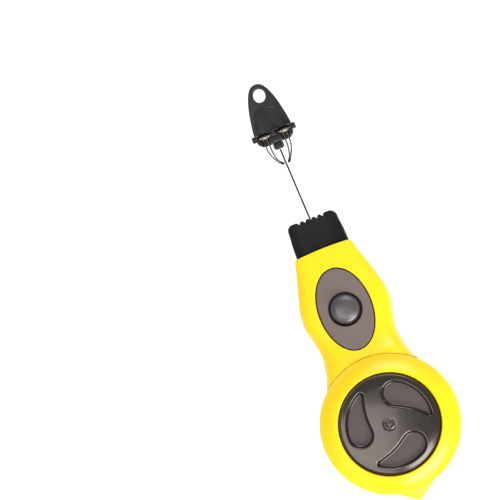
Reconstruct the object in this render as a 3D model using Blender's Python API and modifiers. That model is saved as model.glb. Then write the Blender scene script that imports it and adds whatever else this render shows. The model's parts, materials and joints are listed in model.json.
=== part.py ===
"""Pocket chalk line reel with a sprung spool, a thumb brake and a two-claw hook, as an assembly.

Metres, +Z up. The reel lies on its flat back: the origin is on the drum's axis at the back face,
+Y runs along the reel to the nose and the hook, and +Z is out of the front.
"""

import math

import bmesh
import bpy
from mathutils import Matrix, Vector

MM = 0.001

# ---------------------------------------------------------------- driving dimensions
GAP = 0.3 * MM                     # between pieces that touch
WALL = 2.2 * MM
SPLIT = 12.0 * MM                  # top of the rear shell
DRUM_RADIUS = 35.2 * MM
DRUM_FRONT = 33.5 * MM             # height of the front lip
LIP_RADIUS = 25.95 * MM            # round opening that shows the dial
TAIL_TIP = -40.5 * MM
TAIL_HALF_WIDTH, TAIL_TOP = 9.6 * MM, 24.0 * MM
CASE_END = 93.3 * MM               # where the yellow case meets the nose cap
HANDLE_TOP_AT_DRUM = 25.6 * MM     # height of the handle's front where it leaves the drum
HANDLE_SLOPE = -7.2 / 57.0         # fall of the handle's front towards the nose
HANDLE_EDGE = 4.0 * MM             # rounding of the handle's front edge
BACK_EDGE = 2.6 * MM               # rounding of the back edge
# (y, half-width) of the handle's side, from the drum to the nose
HANDLE_SIDE = [(25.2, 24.58), (28.0, 23.4), (31.5, 21.95), (36.0, 20.9), (43.5, 19.95), (51.0, 20.95),
               (57.0, 22.45), (62.0, 22.9), (68.0, 22.25), (75.0, 20.3), (83.0, 17.9), (90.0, 15.9)]
CASE_CORNER = 2.0 * MM             # shoulder at the nose

PAD_CENTRE = 61.5 * MM
PAD_SEMI_X, PAD_SEMI_Y = 13.3 * MM, 21.2 * MM
PAD_RECESS, PAD_THICK = 1.2 * MM, 1.6 * MM
BUTTON_Y = 61.4 * MM
BUTTON_RADIUS = 7.25 * MM
BUTTON_WELL = 8.6 * MM             # hole in the pad
BUTTON_CROWN = 25.4 * MM

NOSE_HALF_WIDTH, NOSE_END_HALF_WIDTH = 13.85 * MM, 12.9 * MM
NOSE_END = 110.5 * MM
NOSE_THICK = 16.0 * MM
LINE_Z = 8.0 * MM                  # the line leaves the nose at this height
MOUTH_HALF_WIDTH, MOUTH_FLOOR = 10.4 * MM, 93.6 * MM
MOUTH_LOW, MOUTH_HIGH = 2.2 * MM, 13.8 * MM
NOTCH_X = (-6.2, -3.1, 0.0, 3.1, 6.2)
NOTCH_DEPTH, NOTCH_HALF_WIDTH = 1.5 * MM, 1.0 * MM

LINE_RADIUS = 0.45 * MM
WINDING_INNER, WINDING_OUTER = 17.3 * MM, 24.8 * MM
SPOOL_LOW, SPOOL_HIGH, SPOOL_RADIUS = 4.1 * MM, 17.7 * MM, 27.0 * MM
FLANGE = 1.4 * MM
CHAMBER_RADIUS = 14.8 * MM         # inside of the mainspring's chamber
AXLE_RADIUS, AXLE_FOOT = 2.5 * MM, 1.4 * MM
SPRING_TURNS, SPRING_STRIP = 5, 0.5 * MM

DIAL_RADIUS, DIAL_LOW, DIAL_HIGH = 25.4 * MM, 27.5 * MM, 32.3 * MM
HOLLOW_DEPTH = 2.8 * MM
# the comma-shaped finger hollow, in polar places about the dial's centre: radius, angle from its head
HOLLOW_INNER = [(8.45, 0.0), (10.2, -30.0), (13.7, -50.0), (17.7, -65.5), (20.0, -69.5)]
HOLLOW_OUTER_RADIUS = 22.5 * MM
HEAD_PLACE, HEAD_RADIUS = 15.475 * MM, 7.025 * MM
HOLLOW_COUNT = 3

PIVOT_Y, PIVOT_Z, PIVOT_RADIUS = 44.0 * MM, 14.0 * MM, 1.2 * MM

# the hook; it hangs a little to one side of the reel's middle
HOOK_X = -1.4 * MM
ANCHOR_LOW = 148.5 * MM
COLLAR_LOW, FLANGE_LOW, TAB_LOW, TAB_END = 152.0 * MM, 155.5 * MM, 158.5 * MM, 183.0 * MM
FLANGE_HALF_WIDTH, COLLAR_HALF_WIDTH = 11.6 * MM, 9.5 * MM
TAB_SIDE = [(157.5, 9.9), (159.0, 9.9), (162.0, 9.55), (165.0, 9.05), (168.0, 8.5), (171.0, 7.85),
            (174.0, 7.0), (177.0, 5.95), (179.6, 4.85)]
TAB_LOW_Z, TAB_HIGH_Z = 5.6 * MM, 10.4 * MM
EYE_Y, EYE_HALF_WIDTH, EYE_HALF_HEIGHT = 176.65 * MM, 3.1 * MM, 3.875 * MM
PIN_Y, PIN_RADIUS = 156.7 * MM, 0.7 * MM
CLAW_WIRE = 0.42 * MM
CLAW_INNER_X, CLAW_OUTER_X, CLAW_TIP_X, CLAW_TIP_Y = 4.25 * MM, 6.3 * MM, 1.75 * MM, 140.9 * MM

YELLOW, PAD_GREY, BLACK = (1.0, 0.62, 0.012), (0.115, 0.103, 0.098), (0.012, 0.012, 0.013)
STEEL, BRASS, FELT, CORD = (0.42, 0.40, 0.38), (0.6, 0.42, 0.16), (0.5, 0.48, 0.44), (0.02, 0.02, 0.022)
NYLON, DIAL_GREY = (0.55, 0.54, 0.5), (0.035, 0.033, 0.034)


# ---------------------------------------------------------------- helpers
def fresh_scene():
    for obj in list(bpy.data.objects):
        bpy.data.objects.remove(obj, do_unlink=True)
    made = []
    for name in ("chalk_line_reel", "cutters"):
        collection = bpy.data.collections.new(name)
        bpy.context.scene.collection.children.link(collection)
        made.append(collection)
    return made


PARTS, CUTTERS = fresh_scene()


def finish(obj, color, roughness=0.4, metallic=0.0):
    """Make a mesh object a part: in the parts' collection, with its own material."""
    PARTS.objects.link(obj)
    material = bpy.data.materials.new(obj.name)
    material.use_nodes = True
    shader = material.node_tree.nodes["Principled BSDF"]
    shader.inputs["Base Color"].default_value = (*color, 1.0)
    shader.inputs["Roughness"].default_value = roughness
    shader.inputs["Metallic"].default_value = metallic
    obj.data.materials.append(material)
    obj.data.shade_smooth()
    obj.data.set_sharp_from_angle(angle=math.radians(35))
    return obj


def tool(obj):
    """Make a mesh object an operand of a Boolean, which is no part itself."""
    CUTTERS.objects.link(obj)
    obj.hide_render = True
    obj.display_type = "WIRE"
    return obj


def boolean(obj, other, operation):
    modifier = obj.modifiers.new(f"{operation.lower()} {other.name}", "BOOLEAN")
    modifier.operation = operation
    modifier.solver = "EXACT"
    modifier.object = other if other.name in CUTTERS.objects else tool(other)


def cut(obj, *others):
    for other in others:
        boolean(obj, other, "DIFFERENCE")


def join(obj, *others):
    for other in others:
        boolean(obj, other, "UNION")


def solid(name, bm):
    """A bmesh as an object, its faces turned outwards."""
    bmesh.ops.recalc_face_normals(bm, faces=bm.faces)
    mesh = bpy.data.meshes.new(name)
    bm.to_mesh(mesh)
    bm.free()
    return bpy.data.objects.new(name, mesh)


def box(name, low, high):
    bm = bmesh.new()
    centre = (Vector(low) + Vector(high)) / 2
    size = Vector(high) - Vector(low)
    place = Matrix.Translation(centre) @ Matrix.Diagonal((*size, 1.0))
    bmesh.ops.create_cube(bm, size=1.0, matrix=place)
    return solid(name, bm)


def rod(name, radius, low, high, centre=(0.0, 0.0), axis="Z", sides=16):
    """A cylinder along an axis; centre holds its two other coordinates, in X, Y, Z order."""
    turn = {"X": Matrix.Rotation(math.pi / 2, 4, "Y"), "Y": Matrix.Rotation(-math.pi / 2, 4, "X"),
            "Z": Matrix.Identity(4)}[axis]
    place = list(centre)
    place.insert("XYZ".index(axis), (low + high) / 2)
    bm = bmesh.new()
    bmesh.ops.create_cone(bm, cap_ends=True, segments=sides, radius1=radius,
                          radius2=radius, depth=high - low, matrix=Matrix.Translation(place) @ turn)
    return solid(name, bm)


def turned(name, profile, steps=36, closed=True):
    """A turned piece about Z: a profile of (radius, z), running down its outer side."""
    bm = bmesh.new()
    points = [bm.verts.new((radius, 0.0, z)) for radius, z in profile]
    for first, second in zip(points, points[1:]):
        bm.edges.new((first, second))
    if closed:
        bm.edges.new((points[-1], points[0]))
    mesh = bpy.data.meshes.new(name)
    bm.to_mesh(mesh)
    bm.free()
    obj = bpy.data.objects.new(name, mesh)
    screw = obj.modifiers.new("turn", "SCREW")
    screw.steps = screw.render_steps = steps
    screw.use_merge_vertices = True
    screw.merge_threshold = 0.00001
    screw.use_smooth_shade = True
    return obj


def meshed(curve_object):
    """A curve object as a closed mesh object, its caps welded to its sides."""
    bpy.context.scene.collection.objects.link(curve_object)
    bpy.context.view_layer.update()
    evaluated = curve_object.evaluated_get(bpy.context.evaluated_depsgraph_get())
    mesh = bpy.data.meshes.new_from_object(evaluated)
    bm = bmesh.new()
    bm.from_mesh(mesh)
    bmesh.ops.remove_doubles(bm, verts=bm.verts, dist=0.00001)
    bmesh.ops.dissolve_limit(bm, angle_limit=math.radians(0.2), verts=bm.verts, edges=bm.edges)
    name, place = curve_object.name, curve_object.matrix_world.copy()
    bpy.data.objects.remove(curve_object, do_unlink=True)
    obj = solid(name, bm)
    obj.matrix_world = place
    return obj


def plate(name, outline, low, high):
    """A flat outline in X and Y as a solid between two heights."""
    curve = bpy.data.curves.new(name, "CURVE")
    curve.dimensions = "2D"
    curve.fill_mode = "BOTH"
    curve.extrude = (high - low) / 2
    spline = curve.splines.new("POLY")
    spline.points.add(len(outline) - 1)
    for point, (x, y) in zip(spline.points, outline):
        point.co = (x, y, (low + high) / 2, 1.0)
    spline.use_cyclic_u = True
    return meshed(bpy.data.objects.new(name, curve))


def tube(name, points, radius):
    """A wire or cord of round section through a list of points."""
    curve = bpy.data.curves.new(name, "CURVE")
    curve.dimensions = "3D"
    curve.bevel_depth = radius
    curve.bevel_resolution = 2
    curve.use_fill_caps = True
    spline = curve.splines.new("POLY")
    spline.points.add(len(points) - 1)
    for point, place in zip(spline.points, points):
        point.co = (*place, 1.0)
    return meshed(bpy.data.objects.new(name, curve))


def transform(obj, matrix):
    obj.data.transform(matrix)
    return obj


def move_origin(obj, origin):
    """Put a moving piece's origin on its joint's axis, and leave its shape where it is."""
    transform(obj, Matrix.Translation(-Vector(origin)))
    obj.location = origin
    return obj


def smooth(keys, step):
    """Points on a Catmull-Rom curve through the keys, about a step apart."""
    keys = [Vector(key) for key in keys]
    ends = [2 * keys[0] - keys[1]] + keys + [2 * keys[-1] - keys[-2]]
    points = []
    for a, b, c, d in zip(ends, ends[1:], ends[2:], ends[3:]):
        count = max(1, round((c - b).length / step))
        for i in range(count):
            t = i / count
            points.append(0.5 * (2 * b + (c - a) * t + (2 * a - 5 * b + 4 * c - d) * t * t
                                 + (3 * b - a - 3 * c + d) * t ** 3))
    return points + [keys[-1]]


def arc(centre, radius, start, end, count):
    """Points on a circular arc, angles in degrees."""
    angles = [math.radians(start + (end - start) * i / count) for i in range(count + 1)]
    return [(centre[0] + radius * math.cos(a), centre[1] + radius * math.sin(a)) for a in angles]


def ellipse(centre_y, semi_x, semi_y, count):
    turns = [2 * math.pi * i / count for i in range(count)]
    return [(semi_x * math.cos(a), centre_y + semi_y * math.sin(a)) for a in turns]


def mirrored(right_side):
    """A closed outline from its right side, bottom to top, and its mirror image."""
    return list(right_side) + [(-x, y) for x, y in reversed(right_side) if abs(x) > 1e-6]


def handle_front(y):
    """Height of the handle's front surface."""
    return HANDLE_TOP_AT_DRUM + HANDLE_SLOPE * (y - DRUM_RADIUS)


def lean(obj, base):
    """Shear a level solid built about height base so that it lies along the handle's front."""
    for vertex in obj.data.vertices:
        vertex.co.z += handle_front(vertex.co.y) - base
    return obj


def shell(obj, open_top, edge_radius, wall):
    """Hollow a plate: one face goes, the other's rim is rounded, and Solidify adds the wall."""
    bm = bmesh.new()
    bm.from_mesh(obj.data)
    side = 1.0 if open_top else -1.0
    open_faces = [f for f in bm.faces if f.normal.z * side > 0.9]
    bmesh.ops.delete(bm, geom=open_faces, context="FACES")
    closed_faces = [f for f in bm.faces if f.normal.z * side < -0.9]
    rim = {e for f in closed_faces for e in f.edges}
    bmesh.ops.bevel(bm, geom=list(rim), offset=edge_radius, segments=2, profile=0.5, affect="EDGES")
    bm.to_mesh(obj.data)
    bm.free()
    hollow = obj.modifiers.new("wall", "SOLIDIFY")
    hollow.thickness = wall
    hollow.offset = -1.0
    hollow.use_even_offset = True
    return obj


# ---------------------------------------------------------------- the case
def handle_right_side():
    points = [(x * MM, y * MM) for y, x in HANDLE_SIDE]
    points = [(p.x, p.y) for p in smooth(points, 3.6 * MM)]
    return points + [(points[-1][0] - CASE_CORNER, CASE_END)]


TAIL_JOIN_Y = -math.sqrt(DRUM_RADIUS ** 2 - TAIL_HALF_WIDTH ** 2)


def case_outline():
    """Drum, handle and pointed tail."""
    tail_join = math.degrees(math.atan2(TAIL_JOIN_Y, TAIL_HALF_WIDTH))
    handle_join = math.degrees(math.atan2(HANDLE_SIDE[0][0], HANDLE_SIDE[0][1]))
    drum = arc((0.0, 0.0), DRUM_RADIUS, tail_join, handle_join, 19)
    return mirrored([(0.0, TAIL_TIP)] + drum[:-1] + handle_right_side())


SCREW_CIRCLE = 30.2 * MM
DRUM_SCREWS = [(SCREW_CIRCLE * math.cos(math.radians(a)), SCREW_CIRCLE * math.sin(math.radians(a)))
               for a in (20, 160, -60, -120)]
HANDLE_SCREWS = [(14.7 * MM, 70.6 * MM), (-14.7 * MM, 70.6 * MM)]
SCREW_PLACES = DRUM_SCREWS + HANDLE_SCREWS
SCREW_SHANK, SCREW_HEAD, SCREW_HOLE, SCREW_SINK = 1.1 * MM, 2.1 * MM, 1.4 * MM, 2.4 * MM
SINK_DEPTH, SCREW_END = 1.5 * MM, 18.5 * MM
BOSS_RADIUS = 2.9 * MM
PLUG_Y, PLUG_HEAD, PLUG_STEM = 73.2 * MM, 6.8 * MM, 5.5 * MM


def screw_hole_tools(top):
    tools = []
    for i, place in enumerate(SCREW_PLACES):
        tools.append(rod(f"cut_hole_{i}_{top:.4f}", SCREW_HOLE, -1.0 * MM, top, place))
        tools.append(rod(f"cut_sink_{i}_{top:.4f}", SCREW_SINK, -1.0 * MM, SINK_DEPTH, place))
    return tools


def nose_opening(name):
    """The way through the end of the case for the nose cap's spigot."""
    return box(name, (-11.8 * MM, 80.2 * MM, 2.6 * MM), (11.8 * MM, 96.0 * MM, 14.8 * MM))


def tail_point():
    """The pointed tail's upper part, which stands outside the drum cover."""
    wedge = mirrored([(0.0, TAIL_TIP), (TAIL_HALF_WIDTH, TAIL_JOIN_Y), (0.0, -0.8 * DRUM_RADIUS)])
    point = plate("tail_point", wedge, SPLIT - 4.0 * MM, TAIL_TOP)
    cut(point, rod("cut_tail_point", DRUM_RADIUS + GAP, 0.0, 40.0 * MM, sides=120))
    return point


def rear_shell():
    obj = shell(plate("rear_shell", case_outline(), 0.0, SPLIT), True, BACK_EDGE, WALL)
    inside = WALL - 0.7 * MM
    for i, place in enumerate(SCREW_PLACES):
        join(obj, rod(f"rear_boss_{i}", BOSS_RADIUS, inside, SPLIT, place))
    join(obj, rod("axle_boss", 7.0 * MM, inside, 2.9 * MM, sides=32), tail_point())
    join(obj, rod("brake_spring_post", 4.2 * MM, inside, 5.5 * MM, (0.0, BUTTON_Y)))
    post_half, post_high = 2.5 * MM, 16.4 * MM
    for side in (-1, 1):
        low, high = sorted((side * 6.5 * MM, side * 8.5 * MM))
        join(obj, box(f"pivot_post_{side}", (low, PIVOT_Y - post_half, inside),
                      (high, PIVOT_Y + post_half, post_high)))
    cut(obj, *screw_hole_tools(SPLIT + 1.0 * MM), nose_opening("cut_rear_nose_opening"))
    cut(obj, rod("cut_pivot", PIVOT_RADIUS + GAP, -9.0 * MM, 9.0 * MM, (PIVOT_Y, PIVOT_Z), "X", 16))
    cut(obj, rod("cut_axle_socket", AXLE_RADIUS + GAP, AXLE_FOOT - GAP, 4.0 * MM))
    cut(obj, rod("cut_plug_hole", PLUG_STEM + GAP, -1.0 * MM, 4.0 * MM, (0.0, PLUG_Y), sides=32),
        rod("cut_plug_sink", PLUG_HEAD + GAP, -1.0 * MM, 1.2 * MM, (0.0, PLUG_Y), sides=32))
    return finish(obj, YELLOW)


def handle_cover():
    low = SPLIT + GAP
    side = [(HANDLE_SIDE[0][1] * MM, 10.0 * MM)] + handle_right_side()
    obj = plate("handle_cover", mirrored(side), low, low + 8.0 * MM)
    for vertex in obj.data.vertices:
        if vertex.co.z > low + 1.0 * MM:
            vertex.co.z = handle_front(vertex.co.y)
    shell(obj, False, HANDLE_EDGE, 2.6 * MM)
    for i, (x, y) in enumerate(HANDLE_SCREWS):
        join(obj, rod(f"handle_boss_{i}", BOSS_RADIUS, low, handle_front(y) - 1.5 * MM, (x, y)))
    recess = lean(plate("cut_pad_recess", ellipse(PAD_CENTRE, PAD_SEMI_X + GAP, PAD_SEMI_Y + GAP, 40),
                        -PAD_RECESS, 3.0 * MM), 0.0)
    cut(obj, rod("cut_drum", DRUM_RADIUS + GAP, 0.0, 40.0 * MM, sides=120), recess)
    cut(obj, rod("cut_button", BUTTON_RADIUS + 0.5 * MM, 15.0 * MM, 30.0 * MM, (0.0, BUTTON_Y), sides=32))
    for i, place in enumerate(HANDLE_SCREWS):
        cut(obj, rod(f"cut_handle_pilot_{i}", SCREW_HOLE, 0.0, SCREW_END + 0.7 * MM, place))
    cut(obj, nose_opening("cut_front_nose_opening"))
    return finish(obj, YELLOW)


def drum_cover():
    low, shoulder, wall = SPLIT + GAP, 25.0 * MM, 2.4 * MM
    centre = DRUM_RADIUS - 8.5 * MM
    semi_r, semi_z = DRUM_RADIUS - centre, DRUM_FRONT - shoulder
    turns = [math.radians(a) for a in (90, 68, 46, 24, 0)]
    outer = [(centre + semi_r * math.cos(t), shoulder + semi_z * math.sin(t)) for t in turns]
    inner = [(centre + (semi_r - wall) * math.cos(t), shoulder + (semi_z - wall) * math.sin(t))
             for t in reversed(turns)]
    profile = [(LIP_RADIUS, DRUM_FRONT)] + outer + [(DRUM_RADIUS, low), (DRUM_RADIUS - wall, low)]
    profile += inner + [(LIP_RADIUS, DRUM_FRONT - wall)]
    obj = turned("drum_cover", profile, steps=60)
    for i, place in enumerate(DRUM_SCREWS):
        join(obj, rod(f"drum_boss_{i}", 2.6 * MM, low, 29.0 * MM, place))
        cut(obj, rod(f"cut_drum_pilot_{i}", SCREW_HOLE, 0.0, SCREW_END + 0.7 * MM, place))
    cut(obj, box("cut_lever_way", (-6.5 * MM, 20.0 * MM, 0.0), (6.5 * MM, 45.0 * MM, 24.0 * MM)))
    return finish(obj, YELLOW)


def case_screws():
    head_low, head_high = GAP, SINK_DEPTH - GAP
    profile = [(0.0, SCREW_END), (SCREW_SHANK, SCREW_END), (SCREW_SHANK, head_high),
               (SCREW_HEAD, head_high), (SCREW_HEAD, head_low), (0.0, head_low)]
    for i, (x, y) in enumerate(SCREW_PLACES, start=1):
        screw = turned(f"case_screw_{i}", profile, steps=12, closed=False)
        screw.location = (x, y, 0.0)
        finish(screw, STEEL, 0.35, 1.0)


def filler_plug():
    head_low, head_high = GAP, 0.9 * MM
    profile = [(0.0, 4.2 * MM), (4.6 * MM, 4.2 * MM), (PLUG_STEM, 3.4 * MM), (PLUG_STEM, head_high),
               (PLUG_HEAD, head_high), (PLUG_HEAD, head_low), (0.0, head_low)]
    plug = turned("filler_plug", profile, steps=24, closed=False)
    plug.location = (0.0, PLUG_Y, 0.0)
    return finish(plug, BLACK, 0.7)


def thumb_pad():
    bottom, top = -PAD_RECESS + GAP, -PAD_RECESS + GAP + PAD_THICK
    outline = ellipse(PAD_CENTRE, PAD_SEMI_X, PAD_SEMI_Y, 40)
    obj = lean(plate("thumb_pad", outline, bottom, top), 0.0)
    cut(obj, rod("cut_button_well", BUTTON_WELL, 10.0 * MM, 40.0 * MM, (0.0, BUTTON_Y), sides=32))
    return finish(obj, PAD_GREY, 0.6)


# ---------------------------------------------------------------- button and brake
def release_button():
    crown, rim, flange_high, flange_low = BUTTON_CROWN, 22.8 * MM, 18.2 * MM, 16.7 * MM
    stem_low, stem = 15.2 * MM, 3.0 * MM
    flange = 9.0 * MM
    dome = [(BUTTON_RADIUS * math.sin(t), rim + (crown - rim) * math.cos(t))
            for t in (math.radians(18 * i) for i in range(6))]
    profile = dome + [(BUTTON_RADIUS, flange_high), (flange, flange_high), (flange, flange_low),
                      (stem, flange_low), (stem, stem_low + 0.6 * MM), (0.5 * stem, stem_low), (0.0, stem_low)]
    button = turned("release_button", profile, steps=32, closed=False)
    button.location = (0.0, BUTTON_Y, 0.0)
    return finish(button, DIAL_GREY, 0.25)


def brake_lever():
    """Side view of the lever, from the end under the button to the end over the spool's flange."""
    low, high, arm_low, arm_high = 12.8 * MM, 14.9 * MM, 19.3 * MM, 21.0 * MM
    tip, end, hub_low = 22.6 * MM, 65.5 * MM, 11.4 * MM
    side = [(end, low), (end, high), (PIVOT_Y + 3.2 * MM, high), (PIVOT_Y + 1.4 * MM, 16.6 * MM),
            (PIVOT_Y - 2.4 * MM, 17.6 * MM), (PIVOT_Y - 6.0 * MM, arm_high), (tip, arm_high),
            (tip, arm_low), (PIVOT_Y - 7.8 * MM, arm_low), (PIVOT_Y - 3.0 * MM, hub_low),
            (PIVOT_Y + 2.6 * MM, hub_low), (PIVOT_Y + 3.8 * MM, low)]
    half_width = 4.5 * MM
    stand = Matrix(((0, 0, 1, 0), (1, 0, 0, 0), (0, 1, 0, 0), (0, 0, 0, 1)))
    obj = transform(plate("brake_lever", side, -half_width, half_width), stand)
    cut(obj, rod("cut_lever_bore", PIVOT_RADIUS + GAP, -6.0 * MM, 6.0 * MM, (PIVOT_Y, PIVOT_Z), "X", 16))
    move_origin(obj, (0.0, PIVOT_Y, PIVOT_Z))
    pad = box("brake_pad", (-4.3 * MM, 22.9 * MM, SPOOL_HIGH + GAP), (4.3 * MM, 26.6 * MM, arm_low - GAP))
    move_origin(pad, (0.0, PIVOT_Y, PIVOT_Z))
    finish(pad, FELT, 0.9)
    pin = rod("brake_pivot_pin", PIVOT_RADIUS, -9.6 * MM, 9.6 * MM, (PIVOT_Y, PIVOT_Z), "X", 16)
    finish(pin, STEEL, 0.3, 1.0)
    return finish(obj, BLACK, 0.5)


def brake_spring():
    """Compression coil between the rear shell's post and the lever's end."""
    wire, coil, low, high, turns, steps = 0.4 * MM, 3.0 * MM, 5.8 * MM, 12.5 * MM, 4.5, 10
    count = int(turns * steps)
    rise = high - low - 2 * wire
    points = []
    for i in range(count + 1):
        angle = 2 * math.pi * i / steps
        height = low + wire + rise * i / count
        points.append((coil * math.cos(angle), BUTTON_Y + coil * math.sin(angle), height))
    return finish(tube("brake_spring", points, wire), STEEL, 0.3, 1.0)


# ---------------------------------------------------------------- the spool and its dial
def spool():
    rebate, rebate_low, floor = CHAMBER_RADIUS + 0.8 * MM, SPOOL_HIGH - 1.5 * MM, SPOOL_LOW + 1.6 * MM
    bore, hub = AXLE_RADIUS + GAP, WINDING_INNER - GAP
    profile = [(rebate, SPOOL_HIGH), (SPOOL_RADIUS, SPOOL_HIGH), (SPOOL_RADIUS, SPOOL_HIGH - FLANGE),
               (hub, SPOOL_HIGH - FLANGE), (hub, SPOOL_LOW + FLANGE), (SPOOL_RADIUS, SPOOL_LOW + FLANGE),
               (SPOOL_RADIUS, SPOOL_LOW), (bore, SPOOL_LOW), (bore, floor), (CHAMBER_RADIUS, floor),
               (CHAMBER_RADIUS, rebate_low), (rebate, rebate_low)]
    finish(turned("spool", profile), BLACK, 0.5)
    lid_low, lid_high = rebate_low + GAP, SPOOL_HIGH
    lid = [(bore, lid_high), (rebate - GAP, lid_high), (rebate - GAP, lid_low), (bore, lid_low)]
    finish(turned("spring_cover", lid, steps=32), STEEL, 0.35, 1.0)
    low, high = SPOOL_LOW + FLANGE + GAP, SPOOL_HIGH - FLANGE - GAP
    winding = [(WINDING_INNER, high), (WINDING_OUTER, high), (WINDING_OUTER, low), (WINDING_INNER, low)]
    finish(turned("line_winding", winding), CORD, 0.9)
    mainspring(floor + GAP, rebate_low - GAP)


def mainspring(low, high):
    """A flat strip wound from the axle to the chamber's wall."""
    inner, outer, steps = AXLE_RADIUS + 0.8 * MM, CHAMBER_RADIUS - 0.6 * MM, 20
    count = SPRING_TURNS * steps
    bm = bmesh.new()
    strip = []
    for i in range(count + 1):
        angle, radius = 2 * math.pi * i / steps, inner + (outer - inner) * i / count
        place = (radius * math.cos(angle), radius * math.sin(angle))
        strip.append(bm.verts.new((*place, low)))
    edges = [bm.edges.new(pair) for pair in zip(strip, strip[1:])]
    raised = bmesh.ops.extrude_edge_only(bm, edges=edges)["geom"]
    for vertex in (g for g in raised if isinstance(g, bmesh.types.BMVert)):
        vertex.co.z = high
    obj = solid("mainspring", bm)
    strip_wall = obj.modifiers.new("strip", "SOLIDIFY")
    strip_wall.thickness = SPRING_STRIP
    strip_wall.offset = 0.0
    return finish(obj, STEEL, 0.3, 1.0)


def axle():
    """Axle standing in the rear shell's socket, its washer and the screw that holds the dial."""
    high, bore, bore_depth = 27.2 * MM, 1.2 * MM, 8.0 * MM
    profile = [(0.0, high - bore_depth), (bore, high - bore_depth), (bore, high), (AXLE_RADIUS, high),
               (AXLE_RADIUS, AXLE_FOOT), (0.0, AXLE_FOOT)]
    finish(turned("axle", profile, steps=16, closed=False), STEEL, 0.3, 1.0)
    washer_bore, washer_edge, washer_low, washer_high = 2.9 * MM, 6.2 * MM, 3.2 * MM, 3.8 * MM
    washer = [(washer_bore, washer_high), (washer_edge, washer_high), (washer_edge, washer_low),
              (washer_bore, washer_low)]
    finish(turned("spool_washer", washer, steps=24), NYLON, 0.5)
    shank, head = bore - GAP, 1.45 * MM
    head_low, head_high = DIAL_HIGH - 1.0 * MM, DIAL_HIGH + 0.3 * MM
    screw = [(0.0, head_high), (1.1 * MM, head_high), (head, head_high - 0.35 * MM), (head, head_low),
             (shank, head_low), (shank, high - 6.0 * MM), (0.0, high - 6.0 * MM)]
    finish(turned("dial_screw", screw, steps=16, closed=False), STEEL, 0.3, 1.0)


def finger_hollow(head_angle):
    """Outline of one comma: round head, outer edge concentric with the dial, tail clockwise."""
    def polar(radius, angle):
        a = math.radians(head_angle + angle)
        return (radius * math.cos(a), radius * math.sin(a))
    head = polar(HEAD_PLACE, 0.0)
    head_side = arc(head, HEAD_RADIUS, head_angle, head_angle + 180.0, 8)
    inner = [polar(r * MM, a) for r, a in HOLLOW_INNER]
    inner = [(p.x, p.y) for p in smooth(inner, 3.5 * MM)]
    tip = [polar(21.6 * MM, -70.0), polar(22.4 * MM, -67.5)]
    outer = [polar(HOLLOW_OUTER_RADIUS, a) for a in range(-56, 0, 14)]
    return head_side[:-1] + inner + tip + outer


def winding_dial():
    rim, ring_outer, ring_inner, bore = 0.6 * MM, 2.5 * MM, 1.6 * MM, 1.2 * MM
    skirt_inner, skirt_outer = 15.9 * MM, 17.4 * MM
    ring_top = DIAL_HIGH + 0.4 * MM
    sink = DIAL_HIGH - 1.0 * MM - GAP
    profile = [(ring_inner + 0.2 * MM, ring_top), (ring_outer, ring_top), (ring_outer + 0.2 * MM, DIAL_HIGH),
               (DIAL_RADIUS - rim, DIAL_HIGH), (DIAL_RADIUS, DIAL_HIGH - rim), (DIAL_RADIUS, DIAL_LOW),
               (skirt_outer, DIAL_LOW), (skirt_outer, SPOOL_HIGH + GAP), (skirt_inner, SPOOL_HIGH + GAP),
               (skirt_inner, DIAL_LOW), (bore, DIAL_LOW), (bore, sink), (ring_inner + 0.2 * MM, sink)]
    obj = turned("winding_dial", profile, steps=60)
    for i in range(HOLLOW_COUNT):
        outline = finger_hollow(180.0 + i * 360.0 / HOLLOW_COUNT)
        cut(obj, plate(f"cut_finger_hollow_{i}", outline, DIAL_HIGH - HOLLOW_DEPTH, DIAL_HIGH + 2.0 * MM))
    return finish(obj, DIAL_GREY, 0.15)


# ---------------------------------------------------------------- the nose and the line
def nose_outline():
    corner = 3.1 * MM
    centre = (NOSE_END_HALF_WIDTH - corner, NOSE_END - corner)
    round_corner = arc(centre, corner, 10.0, 90.0, 5)
    side = [(NOSE_HALF_WIDTH, CASE_END + GAP), (NOSE_HALF_WIDTH, 97.0 * MM)]
    return mirrored(side + round_corner)


def nose_cap():
    obj = plate("nose_cap", nose_outline(), 0.0, NOSE_THICK)
    bevel = obj.modifiers.new("edges", "BEVEL")
    bevel.width = 1.2 * MM
    bevel.segments = 2
    bevel.limit_method = "ANGLE"
    bevel.angle_limit = math.radians(60)
    spigot_half, spigot_low, spigot_high = 11.5 * MM, 2.9 * MM, 14.5 * MM
    join(obj, box("nose_spigot", (-spigot_half, 80.5 * MM, spigot_low), (spigot_half, 95.0 * MM, spigot_high)))
    mouth = box("cut_mouth", (-MOUTH_HALF_WIDTH, MOUTH_FLOOR, MOUTH_LOW),
                (MOUTH_HALF_WIDTH, NOSE_END + 4.5 * MM, MOUTH_HIGH))
    wiper_box = box("cut_wiper_box", (-8.0 * MM, 79.0 * MM, 4.2 * MM), (8.0 * MM, 90.0 * MM, 12.6 * MM))
    cut(obj, mouth, wiper_box)
    cut(obj, rod("cut_guide_bore", 2.2 * MM + GAP, 88.0 * MM, 95.0 * MM, (0.0, LINE_Z), "Y"))
    for i, x in enumerate(NOTCH_X):
        middle, half_floor, mouth_y = x * MM, 0.25 * MM, NOSE_END + 0.1 * MM
        notch = [(middle - NOTCH_HALF_WIDTH, mouth_y), (middle - half_floor, NOSE_END - NOTCH_DEPTH),
                 (middle + half_floor, NOSE_END - NOTCH_DEPTH), (middle + NOTCH_HALF_WIDTH, mouth_y)]
        cut(obj, plate(f"cut_notch_{i}", notch, -1.0 * MM, NOSE_THICK + 1.0 * MM))
    return finish(obj, BLACK, 0.45)


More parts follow.
